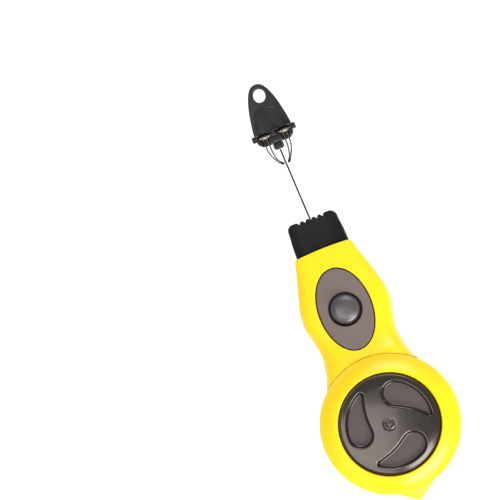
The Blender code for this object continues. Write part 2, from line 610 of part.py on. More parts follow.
def line_height(y):
    """The line slopes from the middle of the winding down to the nose's axis."""
    start, end = (7.3 * MM, (SPOOL_LOW + SPOOL_HIGH) / 2), (90.0 * MM, LINE_Z)
    share = min(1.0, max(0.0, (y - start[0]) / (end[0] - start[0])))
    return start[1] + (end[1] - start[1]) * share


def line_guide_and_wipers():
    bore, body, flange = 0.9 * MM, 2.2 * MM, 2.9 * MM
    low, floor, high = 90.3 * MM, MOUTH_FLOOR + GAP, MOUTH_FLOOR + 0.9 * MM
    profile = [(bore, high), (flange, high), (flange, floor), (body, floor), (body, low), (bore, low)]
    guide = turned("line_guide", profile, steps=16)
    guide.rotation_euler.x = -math.pi / 2
    guide.location.z = LINE_Z
    finish(guide, BRASS, 0.3, 1.0)
    clear, half_width, start, end = LINE_RADIUS + 0.25 * MM, 7.6 * MM, 81.5 * MM, 88.5 * MM
    middle = line_height((start + end) / 2)
    upper = box("felt_wiper_upper", (-half_width, start, middle + clear), (half_width, end, 12.2 * MM))
    lower = box("felt_wiper_lower", (-half_width, start, 4.6 * MM), (half_width, end, middle - clear))
    for wiper in (upper, lower):
        finish(wiper, FELT, 0.95)


def inner_line():
    """From the winding's tangent to the guide."""
    reach = WINDING_OUTER + GAP + LINE_RADIUS + 0.1 * MM
    turn = math.acos(reach / (90.0 * MM))
    tangent = (reach * math.sin(turn), reach * math.cos(turn))
    keys = [(*tangent, line_height(tangent[1]))]
    for share in (0.2, 0.4, 0.6, 0.8, 0.94):
        x, y = tangent[0] * (1 - share), tangent[1] + (90.0 * MM - tangent[1]) * share
        keys.append((x, y, line_height(y)))
    keys += [(0.35 * MM, 89.6 * MM, LINE_Z), (0.0, 91.2 * MM, LINE_Z), (0.0, 93.0 * MM, LINE_Z)]
    points = smooth(keys, 2.5 * MM)
    return finish(tube("inner_line", points, LINE_RADIUS), CORD, 0.9)


def free_line():
    """Taut from the guide to the hook's anchor."""
    start, end, count = CASE_END, ANCHOR_LOW - GAP, 24
    points = [(HOOK_X * i / count, start + (end - start) * i / count, LINE_Z) for i in range(count + 1)]
    curve = tube("free_line", points, LINE_RADIUS)
    return finish(curve, CORD, 0.9)


# ---------------------------------------------------------------- the hook
def along_y(obj):
    """Stand a plate drawn in X and Z upright, so that its thickness runs along Y."""
    return transform(obj, Matrix(((1, 0, 0, 0), (0, 0, 1, 0), (0, 1, 0, 0), (0, 0, 0, 1))))


def rounded_rectangle(half_width, low, high, corner, count=4):
    right = arc((half_width - corner, low + corner), corner, -90.0, 0.0, count)
    right += arc((half_width - corner, high - corner), corner, 0.0, 90.0, count)
    return right + [(-x, z) for x, z in reversed(right)]


def hook_tab():
    side = [(x * MM, y * MM) for y, x in TAB_SIDE]
    top = arc((0.0, TAB_END - 4.9 * MM), 4.9 * MM, 20.0, 90.0, 6)
    obj = plate("hook_tab", mirrored(side + top), TAB_LOW_Z, TAB_HIGH_Z)
    bevel = obj.modifiers.new("edges", "BEVEL")
    bevel.width = 1.0 * MM
    bevel.segments = 2
    bevel.limit_method = "ANGLE"
    bevel.angle_limit = math.radians(60)
    flange = rounded_rectangle(FLANGE_HALF_WIDTH, 0.0, NOSE_THICK, 5.0 * MM)
    flange = along_y(plate("hook_flange", flange, FLANGE_LOW, TAB_LOW))
    collar = [(6.3 * MM, COLLAR_LOW), (8.6 * MM, COLLAR_LOW + 1.0 * MM),
              (COLLAR_HALF_WIDTH, COLLAR_LOW + 2.6 * MM), (COLLAR_HALF_WIDTH, FLANGE_LOW + 0.6 * MM)]
    collar = plate("hook_collar", mirrored(collar), 3.5 * MM, 12.5 * MM)
    grip = [(7.5 * MM, TAB_LOW - 0.5 * MM), (7.4 * MM, 163.0 * MM), (6.9 * MM, 167.0 * MM),
            (5.6 * MM, 169.8 * MM), (2.5 * MM, 170.75 * MM)]
    grip = plate("hook_grip", mirrored(grip), 4.4 * MM, 11.6 * MM)
    join(obj, flange, collar, grip)
    slot_low, slot_high = LINE_Z - 1.8 * MM, 20.0 * MM
    for side_sign in (-1, 1):
        low, high = sorted((side_sign * 3.1 * MM, side_sign * 7.5 * MM))
        cut(obj, box(f"cut_claw_slot_{side_sign}", (low, 150.0 * MM, slot_low),
                     (high, PIN_Y + 1.8 * MM, slot_high)))
        low, high = sorted((side_sign * 0.9 * MM, side_sign * 8.9 * MM))
        cut(obj, box(f"cut_pin_groove_{side_sign}", (low, PIN_Y - 1.0 * MM, LINE_Z - 1.1 * MM),
                     (high, PIN_Y + 1.0 * MM, slot_high)))
    cut(obj, rod("cut_pin_bore", PIN_RADIUS + GAP, -10.5 * MM, 10.5 * MM, (PIN_Y, LINE_Z), "X", 16))
    cut(obj, box("cut_anchor_pocket", (-1.8 * MM, 150.0 * MM, 6.2 * MM), (1.8 * MM, 155.3 * MM, 9.8 * MM)))
    cut(obj, plate("cut_eye", ellipse(EYE_Y, EYE_HALF_WIDTH, EYE_HALF_HEIGHT, 24), 0.0, NOSE_THICK))
    return finish(obj, BLACK, 0.4)


def claw(name, side):
    """One wire bent double: two legs from an eye round the pin to a shared tip."""
    inner = [(CLAW_INNER_X, 155.5), (CLAW_INNER_X, 151.5), (4.05 * MM, 147.5), (3.1 * MM, 143.6)]
    outer = [(CLAW_OUTER_X, 155.5), (CLAW_OUTER_X, 151.5), (5.7 * MM, 147.6), (3.9 * MM, 143.6)]
    route = [(x, y * MM) for x, y in inner] + [(CLAW_TIP_X, CLAW_TIP_Y + 0.25 * MM), (1.65 * MM, CLAW_TIP_Y)]
    route += [(2.3 * MM, CLAW_TIP_Y + 0.35 * MM)] + [(x, y * MM) for x, y in reversed(outer)]
    points = [(side * p.x, p.y, LINE_Z) for p in smooth(route, 1.3 * MM)]
    obj = tube(name, points, CLAW_WIRE)
    low, high = sorted((side * (CLAW_INNER_X - 0.75 * MM), side * (CLAW_OUTER_X + 0.75 * MM)))
    join(obj, rod(f"{name}_eye", PIN_RADIUS + 0.8 * MM, low, high, (PIN_Y, LINE_Z), "X", 20))
    cut(obj, rod(f"cut_{name}_bore", PIN_RADIUS + GAP, low - MM, high + MM, (PIN_Y, LINE_Z), "X", 20))
    return finish(obj, STEEL, 0.35, 1.0)


def hook():
    """Tab, pin, anchor and claws, on an empty at the pin."""
    holder = bpy.data.objects.new("hook_slide", None)
    holder.location = (HOOK_X, PIN_Y, LINE_Z)
    PARTS.objects.link(holder)
    earlier = set(bpy.data.objects)
    pieces = [hook_tab()]
    pieces.append(finish(rod("hook_pin", PIN_RADIUS, -10.2 * MM, 10.2 * MM, (PIN_Y, LINE_Z), "X", 16),
                         STEEL, 0.2, 1.0))
    anchor = box("line_anchor", (-2.6 * MM, ANCHOR_LOW, 5.4 * MM), (2.6 * MM, COLLAR_LOW - GAP, 10.6 * MM))
    join(anchor, box("anchor_stem", (-1.5 * MM, 151.0 * MM, 6.5 * MM), (1.5 * MM, 155.0 * MM, 9.5 * MM)))
    pieces.append(finish(anchor, BLACK, 0.5))
    pieces += [claw("claw_left", -1), claw("claw_right", 1)]
    for obj in set(bpy.data.objects) - earlier:      # the pieces and the tools that shape them
        transform(obj, Matrix.Translation((HOOK_X, 0.0, 0.0)))
    for piece in pieces:
        move_origin(piece, (HOOK_X, PIN_Y, LINE_Z))
        piece.parent = holder
        piece.location = (0.0, 0.0, 0.0)


for build in (rear_shell, handle_cover, drum_cover, case_screws, filler_plug, thumb_pad, release_button,
              brake_lever, brake_spring, spool, axle, winding_dial, nose_cap, line_guide_and_wipers,
              inner_line, free_line, hook):
    build()
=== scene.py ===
"""Looks of the chalk line reel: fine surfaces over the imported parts, their materials, light and camera.

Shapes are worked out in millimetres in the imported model's own frame: the drum's axis at x = y = 0, the
back face at z = 0, +Y towards the nose and the hook, +Z out of the front.
"""

import json
import math

import bmesh
import bpy
import numpy as np
from mathutils import Matrix, Vector
from mathutils.geometry import delaunay_2d_cdt

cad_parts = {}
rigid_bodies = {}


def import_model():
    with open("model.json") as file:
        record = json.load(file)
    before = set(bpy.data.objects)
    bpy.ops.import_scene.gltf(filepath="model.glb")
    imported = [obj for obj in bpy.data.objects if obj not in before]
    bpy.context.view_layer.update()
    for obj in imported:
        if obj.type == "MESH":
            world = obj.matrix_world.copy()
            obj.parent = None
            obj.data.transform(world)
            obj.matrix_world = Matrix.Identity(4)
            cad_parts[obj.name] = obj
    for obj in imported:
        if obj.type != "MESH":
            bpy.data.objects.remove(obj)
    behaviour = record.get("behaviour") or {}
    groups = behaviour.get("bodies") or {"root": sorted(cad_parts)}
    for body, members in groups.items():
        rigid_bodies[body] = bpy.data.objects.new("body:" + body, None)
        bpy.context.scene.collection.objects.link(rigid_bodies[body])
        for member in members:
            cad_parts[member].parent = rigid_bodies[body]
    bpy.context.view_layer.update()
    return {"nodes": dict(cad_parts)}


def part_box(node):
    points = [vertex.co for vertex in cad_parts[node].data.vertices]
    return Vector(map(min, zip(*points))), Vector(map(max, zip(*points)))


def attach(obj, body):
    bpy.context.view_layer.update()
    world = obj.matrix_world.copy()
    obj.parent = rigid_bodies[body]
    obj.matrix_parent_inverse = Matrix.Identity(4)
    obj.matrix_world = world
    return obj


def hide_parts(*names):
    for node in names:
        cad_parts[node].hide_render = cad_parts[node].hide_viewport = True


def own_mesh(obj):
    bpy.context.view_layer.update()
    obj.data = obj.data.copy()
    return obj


for obj in list(bpy.data.objects):
    bpy.data.objects.remove(obj, do_unlink=True)

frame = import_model()
MM = 0.001


def span(node, axis):
    """Lowest and highest place of a CAD node along an axis, in millimetres."""
    low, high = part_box(node)
    return low[axis] / MM, high[axis] / MM


def centre_of(node, axis):
    """Middle of a CAD node along an axis, in millimetres."""
    return sum(span(node, axis)) / 2


# ------------ sizes, in millimetres
SPLIT = 12.0               # the parting line's height on the case's side
DRUM_RADIUS = span("drum_cover", 0)[1]
DRUM_FRONT = span("drum_cover", 2)[1]
DIAL_RADIUS = span("winding_dial", 0)[1]
CASE_END = span("handle_cover", 1)[1]
PAD_LOW_Y, PAD_HIGH_Y = span("thumb_pad", 1)
PAD_X = span("thumb_pad", 0)[1]
PAD_Y, PAD_HALF = (PAD_LOW_Y + PAD_HIGH_Y) / 2, (PAD_HIGH_Y - PAD_LOW_Y) / 2
NOSE_END, NOSE_THICK = span("nose_cap", 1)[1], span("nose_cap", 2)[1]
BUTTON_Y = centre_of("release_button", 1)
HOOK_X, PIN_Y, PIN_Z = (centre_of("hook_pin", axis) for axis in range(3))
TAIL_TIP = span("rear_shell", 1)[0]
GAP = 0.3                  # clearance between pieces
LIP_RADIUS = 25.8          # opening in the drum cover, round the dial
# places a piece that was turned about Z on the hook's pin
PIN_AXIS = Matrix.Translation((0, PIN_Y * MM, PIN_Z * MM)) @ Matrix.Rotation(math.pi / 2, 4, "Y")


# ------------ materials
def material(name, color, roughness, metallic=0.0, specular=0.5, coat=0.0, coat_roughness=0.1,
             cloud=0.04, cloud_scale=60.0, grain=0.15, grain_scale=2500.0, bump=0.05, mottle=0.06,
             pale_edges=0.0, pale_edge_color=(0.8, 0.8, 0.8), stretch=(1.0, 1.0, 1.0), tint=(1.0, 1.0, 1.0)):
    """A Principled material with clouded colour, uneven roughness, fine grain and paler convex edges."""
    made = bpy.data.materials.new(name)
    made.use_nodes = True
    tree = made.node_tree
    nodes, links = tree.nodes, tree.links
    shader = nodes["Principled BSDF"]
    shader.inputs["Metallic"].default_value = metallic
    shader.inputs["Specular IOR Level"].default_value = specular
    shader.inputs["Specular Tint"].default_value = (*tint, 1.0)
    shader.inputs["Coat Weight"].default_value = coat
    shader.inputs["Coat Roughness"].default_value = coat_roughness
    place = nodes.new("ShaderNodeTexCoord")
    mapping = nodes.new("ShaderNodeMapping")
    mapping.inputs["Scale"].default_value = stretch
    links.new(place.outputs["Object"], mapping.inputs["Vector"])

    def noise(scale, detail, roughness_value=0.55):
        node = nodes.new("ShaderNodeTexNoise")
        node.inputs["Scale"].default_value = scale
        node.inputs["Detail"].default_value = detail
        node.inputs["Roughness"].default_value = roughness_value
        links.new(mapping.outputs["Vector"], node.inputs["Vector"])
        return node

    def ramp(source, low, high):
        node = nodes.new("ShaderNodeMapRange")
        node.inputs["From Min"].default_value = 0.3
        node.inputs["From Max"].default_value = 0.7
        node.inputs["To Min"].default_value = low
        node.inputs["To Max"].default_value = high
        links.new(source, node.inputs["Value"])
        return node.outputs["Result"]

    clouds, fine = noise(cloud_scale, 4.0), noise(grain_scale, 3.0, 0.6)
    shade = nodes.new("ShaderNodeMix")
    shade.data_type = "RGBA"
    shade.inputs["A"].default_value = (*[c * (1 - cloud) for c in color], 1.0)
    shade.inputs["B"].default_value = (*[min(1.0, c * (1 + cloud)) for c in color], 1.0)
    links.new(ramp(clouds.outputs["Fac"], 0.0, 1.0), shade.inputs["Factor"])
    result = shade.outputs["Result"]
    speckle = nodes.new("ShaderNodeMix")
    speckle.data_type = "RGBA"
    speckle.blend_type = "MULTIPLY"
    speckle.inputs["Factor"].default_value = grain
    links.new(result, speckle.inputs["A"])
    links.new(ramp(fine.outputs["Fac"], 0.4, 1.0), speckle.inputs["B"])
    result = speckle.outputs["Result"]
    # Convex edges are paled through pointiness, the same whichever way the light falls; the yellow, dial and
    # hook plastics use this as a painted rim highlight.
    if pale_edges:
        shape = nodes.new("ShaderNodeNewGeometry")
        edge = nodes.new("ShaderNodeMapRange")
        edge.inputs["From Min"].default_value = 0.53
        edge.inputs["From Max"].default_value = 0.62
        edge.inputs["To Max"].default_value = pale_edges
        links.new(shape.outputs["Pointiness"], edge.inputs["Value"])
        paled = nodes.new("ShaderNodeMix")
        paled.data_type = "RGBA"
        paled.inputs["B"].default_value = (*pale_edge_color, 1.0)
        links.new(edge.outputs["Result"], paled.inputs["Factor"])
        links.new(result, paled.inputs["A"])
        result = paled.outputs["Result"]
    links.new(result, shader.inputs["Base Color"])
    uneven = noise(cloud_scale * 3.0, 5.0)
    uneven_roughness = ramp(uneven.outputs["Fac"], roughness - mottle, roughness + mottle)
    links.new(uneven_roughness, shader.inputs["Roughness"])
    relief = nodes.new("ShaderNodeBump")
    relief.inputs["Strength"].default_value = bump
    relief.inputs["Distance"].default_value = 0.0001
    links.new(fine.outputs["Fac"], relief.inputs["Height"])
    links.new(relief.outputs["Normal"], shader.inputs["Normal"])
    return made


# The yellow's paler convex edges are a painted rim highlight.
YELLOW = material("yellow_plastic", (0.97, 0.69, 0.008), 0.27, specular=0.45, cloud=0.02, cloud_scale=45.0,
                  grain=0.05, bump=0.05, mottle=0.05, pale_edges=0.12, pale_edge_color=(1.0, 0.75, 0.1))
BLACK = material("black_plastic", (0.011, 0.010, 0.010), 0.45, specular=0.15, cloud=0.12, grain=0.3,
                 bump=0.15, pale_edges=0.15, pale_edge_color=(0.06, 0.06, 0.06))
GREY = material("grey_grip_plastic", (0.182, 0.138, 0.126), 0.62, specular=0.25, cloud=0.05, grain=0.18,
                grain_scale=3200.0, bump=0.25, pale_edges=0.1, pale_edge_color=(0.3, 0.27, 0.26))
# The dial's dark gloss: its warm reflection tint paints the yellow ring's reflection, and its paler warm
# convex edges are a painted rim highlight.
GLOSS = material("dark_gloss_plastic", (0.011, 0.010, 0.010), 0.19, specular=0.9, coat=0.3,
                 coat_roughness=0.06, cloud=0.1, grain=0.1, bump=0.02, mottle=0.03, pale_edges=0.25,
                 pale_edge_color=(0.30, 0.26, 0.25), tint=(1.0, 0.84, 0.75))
FLOOR_GREY = material("dial_hollow_plastic", (0.100, 0.081, 0.080), 0.6, specular=0.06, cloud=0.05,
                      grain=0.15, bump=0.12)
# The dial's outer bevel: dark brown with a warm reflection tint, a painted reflection of the yellow ring.
DIAL_EDGE_REFLECTION = material("dial_edge_painted_reflection", (0.034, 0.020, 0.013), 0.2, specular=1.0, cloud=0.1, grain=0.1, bump=0.03,
                     tint=(1.0, 0.84, 0.68))
SATIN = material("button_plastic", (0.066, 0.052, 0.050), 0.34, specular=0.9, cloud=0.06, grain=0.15,
                 bump=0.08, pale_edges=0.1, pale_edge_color=(0.25, 0.23, 0.22))
# The hook plastic's paler convex edges are a painted rim highlight.
BLACK_SATIN = material("hook_plastic", (0.017, 0.016, 0.016), 0.36, specular=0.4, cloud=0.15, grain=0.25,
                       bump=0.12, pale_edges=0.2, pale_edge_color=(0.09, 0.09, 0.09))
RUBBER = material("black_rubber", (0.016, 0.016, 0.016), 0.75, specular=0.25, cloud=0.15, grain=0.4,
                  bump=0.4)
STEEL = material("steel", (0.50, 0.47, 0.44), 0.28, metallic=1.0, cloud=0.08, cloud_scale=200.0, grain=0.25,
                 grain_scale=5000.0, bump=0.1, stretch=(1.0, 1.0, 0.2))
WIRE_STEEL = material("claw_steel", (0.30, 0.262, 0.225), 0.34, metallic=1.0, cloud=0.2, cloud_scale=300.0,
                      grain=0.3, bump=0.15)
SCREW_DARK = material("blackened_screw", (0.12, 0.11, 0.105), 0.4, metallic=0.8, cloud=0.1, grain=0.2,
                      bump=0.1, pale_edges=0.3, pale_edge_color=(0.4, 0.38, 0.36))
# Near-black for the claws' tips, where the two wires meet: painted shade.
CLAW_TIP_SHADE = material("claw_tip_painted_shade", (0.030, 0.027, 0.025), 0.5, metallic=0.6, cloud=0.2, cloud_scale=300.0,
                     grain=0.3, bump=0.2)
BRASS = material("brass", (0.62, 0.43, 0.17), 0.3, metallic=1.0, cloud=0.08, grain=0.2, bump=0.08)
NYLON = material("nylon", (0.56, 0.55, 0.50), 0.5, cloud=0.04, grain=0.1, bump=0.1)
FELT = material("felt", (0.46, 0.44, 0.40), 0.95, specular=0.1, cloud=0.15, cloud_scale=400.0, grain=0.5,
                grain_scale=6000.0, bump=0.9)
LINE = material("braided_line", (0.022, 0.021, 0.021), 0.7, specular=0.25, cloud=0.3, cloud_scale=900.0,
                grain=0.5, grain_scale=7000.0, bump=0.6)


# ------------ shapes
def catmull(keys, step):
    """Points on a smooth curve through the keys, about a step apart."""
    keys = [np.array(k, float) for k in keys]
    ends = [2 * keys[0] - keys[1]] + keys + [2 * keys[-1] - keys[-2]]
    points = []
    for a, b, c, d in zip(ends, ends[1:], ends[2:], ends[3:]):
        count = max(1, round(float(np.linalg.norm(c - b)) / step))
        for i in range(count):
            t = i / count
            points.append(0.5 * (2 * b + (c - a) * t + (2 * a - 5 * b + 4 * c - d) * t * t
                                 + (3 * b - a - 3 * c + d) * t ** 3))
    return [tuple(p) for p in points] + [tuple(keys[-1])]


def arc(centre, radius, start, end, count):
    turns = [math.radians(start + (end - start) * i / count) for i in range(count + 1)]
    return [(centre[0] + radius * math.cos(a), centre[1] + radius * math.sin(a)) for a in turns]


def ellipse(centre_y, semi_x, semi_y, count):
    turns = [2 * math.pi * i / count for i in range(count)]
    return [(semi_x * math.cos(a), centre_y + semi_y * math.sin(a)) for a in turns]


def mirrored(right_side):
    """A closed outline from its right side, bottom to top, and its mirror image."""
    return list(right_side) + [(-x, y) for x, y in reversed(right_side) if abs(x) > 1e-6]


def evenly(loop, step):
    """A closed loop's points, spread evenly, with its corners kept close."""
    pts = np.array(loop + [loop[0]], float)
    lengths = np.r_[0, np.cumsum(np.hypot(*np.diff(pts, axis=0).T))]
    count = max(8, int(round(lengths[-1] / step)))
    at = np.linspace(0, lengths[-1], count, endpoint=False)
    return [(float(np.interp(a, lengths, pts[:, 0])), float(np.interp(a, lengths, pts[:, 1]))) for a in at]


def distance(points, loop):
    """Signed distance of points to a closed loop, positive inside it."""
    p = np.asarray(points, float)
    a = np.asarray(loop, float)
    b = np.roll(a, -1, axis=0)
    best = np.full(len(p), 1e9)
    crossings = np.zeros(len(p), int)
    for (ax, ay), (bx, by) in zip(a, b):
        dx, dy = bx - ax, by - ay
        length = dx * dx + dy * dy or 1e-12
        t = np.clip(((p[:, 0] - ax) * dx + (p[:, 1] - ay) * dy) / length, 0, 1)
        best = np.minimum(best, np.hypot(p[:, 0] - ax - t * dx, p[:, 1] - ay - t * dy))
        if ay != by:
            straddles = (p[:, 1] >= min(ay, by)) & (p[:, 1] < max(ay, by))
            crossings += straddles & (p[:, 0] < ax + (p[:, 1] - ay) * dx / dy)
    return np.where(crossings % 2 == 1, best, -best)


def offset(loop, inset):
    """The loop moved inwards by inset; points that would cross the far side are left out."""
    pts = np.asarray(loop, float)
    ahead, behind = np.roll(pts, -1, axis=0), np.roll(pts, 1, axis=0)
    along = ahead - behind
    along /= np.hypot(*along.T)[:, None] + 1e-12
    area = np.sum(pts[:, 0] * ahead[:, 1] - ahead[:, 0] * pts[:, 1])
    inward = np.c_[-along[:, 1], along[:, 0]] * (1 if area > 0 else -1)
    moved = pts + inward * inset
    real = np.sign(inset) * distance(moved, loop) > abs(inset) * 0.93 - 1e-4
    return [tuple(q) for q, ok in zip(moved, real) if ok]


def surface(outline, rings, step, height, holes=()):
    """Triangles over an outline, with points along inset rings of given loops and on a grid."""
    points, edges = [], []

    def add(loop):
        first, count = len(points), len(loop)
        points.extend(loop)
        edges.extend((first + i, first + (i + 1) % count) for i in range(count))

    add(outline)
    for hole in holes:
        add(hole)
    for loop, insets in rings:
        for inset in insets:
            add(loop if inset == 0 else offset(loop, inset))
    pts = np.asarray(outline)
    lo, hi = pts.min(0), pts.max(0)
    xs, ys = np.arange(lo[0] + step / 2, hi[0], step), np.arange(lo[1] + step / 2, hi[1], step)
    grid = np.array([(x + (step / 2 if j % 2 else 0), y) for j, y in enumerate(ys) for x in xs])
    keep = distance(grid, outline) > step * 0.5
    for hole in holes:
        keep &= distance(grid, hole) < -step * 0.5
    for loop, insets in rings:
        d = distance(grid, loop)
        for inset in insets:
            keep &= np.abs(d - inset) > step * 0.45
    points.extend(map(tuple, grid[keep]))
    out, _, faces, _, _, _ = delaunay_2d_cdt([Vector(p) for p in points], edges, [], 1, 1e-5)
    xy = np.array([tuple(v) for v in out])
    middles = np.array([xy[list(f)].mean(0) for f in faces])
    good = np.ones(len(faces), bool)
    for hole in holes:
        good &= distance(middles, hole) < 1e-5
    z = height(xy)
    verts = [(x, y, float(h)) for (x, y), h in zip(xy, z)]
    tris = [tuple(f) for f, ok in zip(faces, good) if ok]
    return verts, tris


def fillet(d, radius):
    """How far a rounded edge has dropped at distance d inside it."""
    t = np.clip(1 - np.asarray(d) / radius, 0, 1)
    return radius * (1 - np.sqrt(np.clip(1 - t * t, 0, 1)))


def add_faces(bm, verts, faces):
    made = [bm.verts.new(v) for v in verts]
    for face in faces:
        bm.faces.new([made[i] for i in face])


def quads(rows, count):
    """Faces between neighbouring rows of a closed loop's points."""
    faces = []
    for i in range(rows - 1):
        for k in range(count):
            m = (k + 1) % count
            faces.append((i * count + k, i * count + m, (i + 1) * count + m, (i + 1) * count + k))
    return faces


def slab(name, loop, top, bottom, radius, step, holes=(), low_radius=None):
    """A closed piece over an outline, its top and bottom given by functions, every edge rounded."""
    low_radius = radius if low_radius is None else low_radius
    insets = [radius * k for k in (0.03, 0.12, 0.3, 0.6, 1.0)]
    loops = [loop, *holes]

    def depth(xy):
        d = distance(xy, loop)
        for hole in holes:
            d = np.minimum(d, -distance(xy, hole))
        return np.where(d < 1e-3, 0.0, d)

    rings = [(loop, insets)] + [(hole, [-i for i in insets]) for hole in holes]
    bm = bmesh.new()
    for up in (True, False):
        edge, face = (radius, top) if up else (low_radius, bottom)
        sign = -1 if up else 1
        verts, tris = surface(loop, rings, step, lambda xy: face(xy) + sign * fillet(depth(xy), edge), holes)
        add_faces(bm, verts, tris if up else [t[::-1] for t in tris])
    for ring in loops:
        xy = np.array(ring)
        high, low = top(xy) - radius, bottom(xy) + low_radius
        upper = [bm.verts.new((x, y, z)) for (x, y), z in zip(ring, high)]
        lower = [bm.verts.new((x, y, z)) for (x, y), z in zip(ring, low)]
        count = len(ring)
        for i in range(count):
            j = (i + 1) % count
            bm.faces.new((upper[i], upper[j], lower[j], lower[i]))
    bmesh.ops.remove_doubles(bm, verts=bm.verts, dist=0.002)
    bmesh.ops.recalc_face_normals(bm, faces=bm.faces)
    return as_object(name, bm)


def as_object(name, bm):
    """A bmesh in millimetres as an object in metres."""
    bmesh.ops.scale(bm, vec=(MM, MM, MM), verts=bm.verts)
    mesh = bpy.data.meshes.new(name)
    bm.to_mesh(mesh)
    bm.free()
    obj = bpy.data.objects.new(name, mesh)
    bpy.context.scene.collection.objects.link(obj)
    return obj


def from_faces(name, verts, faces, outwards=True):
    bm = bmesh.new()
    add_faces(bm, verts, faces)
    if outwards:
        bmesh.ops.recalc_face_normals(bm, faces=bm.faces)
    return as_object(name, bm)


def lathe(name, profile, steps=128, centre=(0.0, 0.0)):
    """A closed (radius, z) profile turned about an upright axis."""
    verts, faces = [], []
    count = len(profile)
    for i in range(steps):
        a = 2 * math.pi * i / steps
        verts += [(centre[0] + r * math.cos(a), centre[1] + r * math.sin(a), z) for r, z in profile]
    for i in range(steps):
        j = (i + 1) % steps
        for k in range(count):
            m = (k + 1) % count
            faces.append((i * count + k, j * count + k, j * count + m, i * count + m))
    bm = bmesh.new()
    add_faces(bm, verts, faces)
    bmesh.ops.remove_doubles(bm, verts=bm.verts, dist=0.0005)
    bmesh.ops.dissolve_degenerate(bm, edges=bm.edges, dist=0.0005)
    bmesh.ops.recalc_face_normals(bm, faces=bm.faces)
    return as_object(name, bm)


def rounded(profile, radius, count):
    """A closed profile with its corners rounded."""
    out = []
    total = len(profile)
    for i, corner in enumerate(profile):
        before, after = np.array(profile[i - 1], float), np.array(profile[(i + 1) % total], float)
        corner = np.array(corner, float)
        u, v = before - corner, after - corner
        lu, lv = np.linalg.norm(u), np.linalg.norm(v)
        cut = min(radius, lu * 0.48, lv * 0.48)
        start, end = corner + u / lu * cut, corner + v / lv * cut
        for k in range(count + 1):
            t = k / count
            out.append(tuple((1 - t) ** 2 * start + 2 * t * (1 - t) * corner + t * t * end))
    return out


def tube(name, path, radii, sides):
    """A round wire along points, with its radius at each of them."""
    pts = [Vector(p) for p in path]
    verts = []
    tangent = (pts[1] - pts[0]).normalized()
    up = Vector((0, 0, 1)) if abs(tangent.z) < 0.9 else Vector((1, 0, 0))
    side = tangent.cross(up).normalized()
    for i, (p, r) in enumerate(zip(pts, radii)):
        ahead, behind = pts[min(i + 1, len(pts) - 1)], pts[max(i - 1, 0)]
        new = (ahead - behind).normalized()
        side = (side - new * side.dot(new)).normalized()
        other = new.cross(side)
        for k in range(sides):
            a = 2 * math.pi * k / sides
            verts.append(tuple(p + side * (r * math.cos(a)) + other * (r * math.sin(a))))
    last = (len(pts) - 1) * sides
    ends = [tuple(range(sides - 1, -1, -1)), tuple(last + k for k in range(sides))]
    return from_faces(name, verts, quads(len(pts), sides) + ends)


def block(name, low, high, radius=0.0):
    """A box, or a box with bevelled edges."""
    bm = bmesh.new()
    size = Vector(high) - Vector(low)
    place = Matrix.Translation((Vector(low) + Vector(high)) / 2) @ Matrix.Diagonal((*size, 1.0))
    bmesh.ops.create_cube(bm, size=1.0, matrix=place)
    if radius:
        bmesh.ops.bevel(bm, geom=bm.edges[:], offset=radius, segments=3, profile=0.5, affect="EDGES")
    return as_object(name, bm)


def boolean(obj, other, operation="DIFFERENCE"):
    """Applies a Boolean at once; the other object goes."""
    modifier = obj.modifiers.new("boolean", "BOOLEAN")
    modifier.operation = operation
    modifier.solver = "EXACT"
    modifier.object = other
    bpy.context.view_layer.update()
    made = bpy.data.meshes.new_from_object(obj.evaluated_get(bpy.context.evaluated_depsgraph_get()))
    obj.modifiers.clear()
    obj.data = made
    bpy.data.objects.remove(other, do_unlink=True)


def dress(obj, body, material, nodes=(), angle=38.0):
    """Shading, material and place in the frame for a visible piece."""
    obj.data.shade_smooth()
    obj.data.set_sharp_from_angle(angle=math.radians(angle))
    obj.data.materials.clear()
    obj.data.materials.append(material)
    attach(obj, body)
    if nodes:
        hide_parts(*nodes)


# ------------ camera, light and floor
UP = Vector((0.3677, 0.9300, 0.0)).normalized()    # what is upright in the view
RIGHT = Vector((UP.y, -UP.x, 0.0))
VIEW_CENTRE = (-33.8, 106.65, 14.0)
VIEW_DISTANCE, VIEW_WIDTH = 3.0, 0.2500            # metres
CAMERA_X, CAMERA_Y = 3.0, 2.2                      # degrees off straight above
WORLD_LIGHT, FLOOR_GLOW = 0.36, 1.03
KEY_WATTS, HIGH_WATTS, OVERHEAD_WATTS, FILL_WATTS, SIDE_WATTS = 8.3, 2.2, 3.7, 4.1, 0.4
FLOOR_HALF, FLOOR_Z = 3000, -0.4


def aim(obj, back, up):
    """Turns a camera or light to face along -back, with up as its upright."""
    z = Vector(back).normalized()
    x = Vector(up).cross(z).normalized()
    y = z.cross(x)
    obj.matrix_world = Matrix.Translation(obj.location) @ Matrix((x, y, z)).transposed().to_4x4()


def camera():
    data = bpy.data.cameras.new("camera")
    data.sensor_width = 36.0
    data.lens = data.sensor_width * VIEW_DISTANCE / VIEW_WIDTH
    data.clip_start, data.clip_end = 0.1, 20.0
    obj = bpy.data.objects.new("camera", data)
    bpy.context.scene.collection.objects.link(obj)
    back = Vector((math.sin(math.radians(CAMERA_X)), -math.sin(math.radians(CAMERA_Y)), 1.0)).normalized()
    obj.location = Vector(VIEW_CENTRE) * MM + back * VIEW_DISTANCE
    aim(obj, back, UP)
    bpy.context.scene.camera = obj


def softbox(name, towards, metres, size, watts, size_y=None):
    """An area light, seen from the handle's foot in the given direction."""
    data = bpy.data.lights.new(name, "AREA")
    data.shape = "RECTANGLE"
    data.size, data.size_y = size, size_y or size
    data.energy = watts
    obj = bpy.data.objects.new(name, data)
    bpy.context.scene.collection.objects.link(obj)
    middle = Vector((0.0, 0.04, 0.02))
    direction = Vector(towards).normalized()
    obj.location = middle + direction * metres
    aim(obj, direction, UP if direction.z > 0.7 else (0, 0, 1))
    obj.visible_camera = False


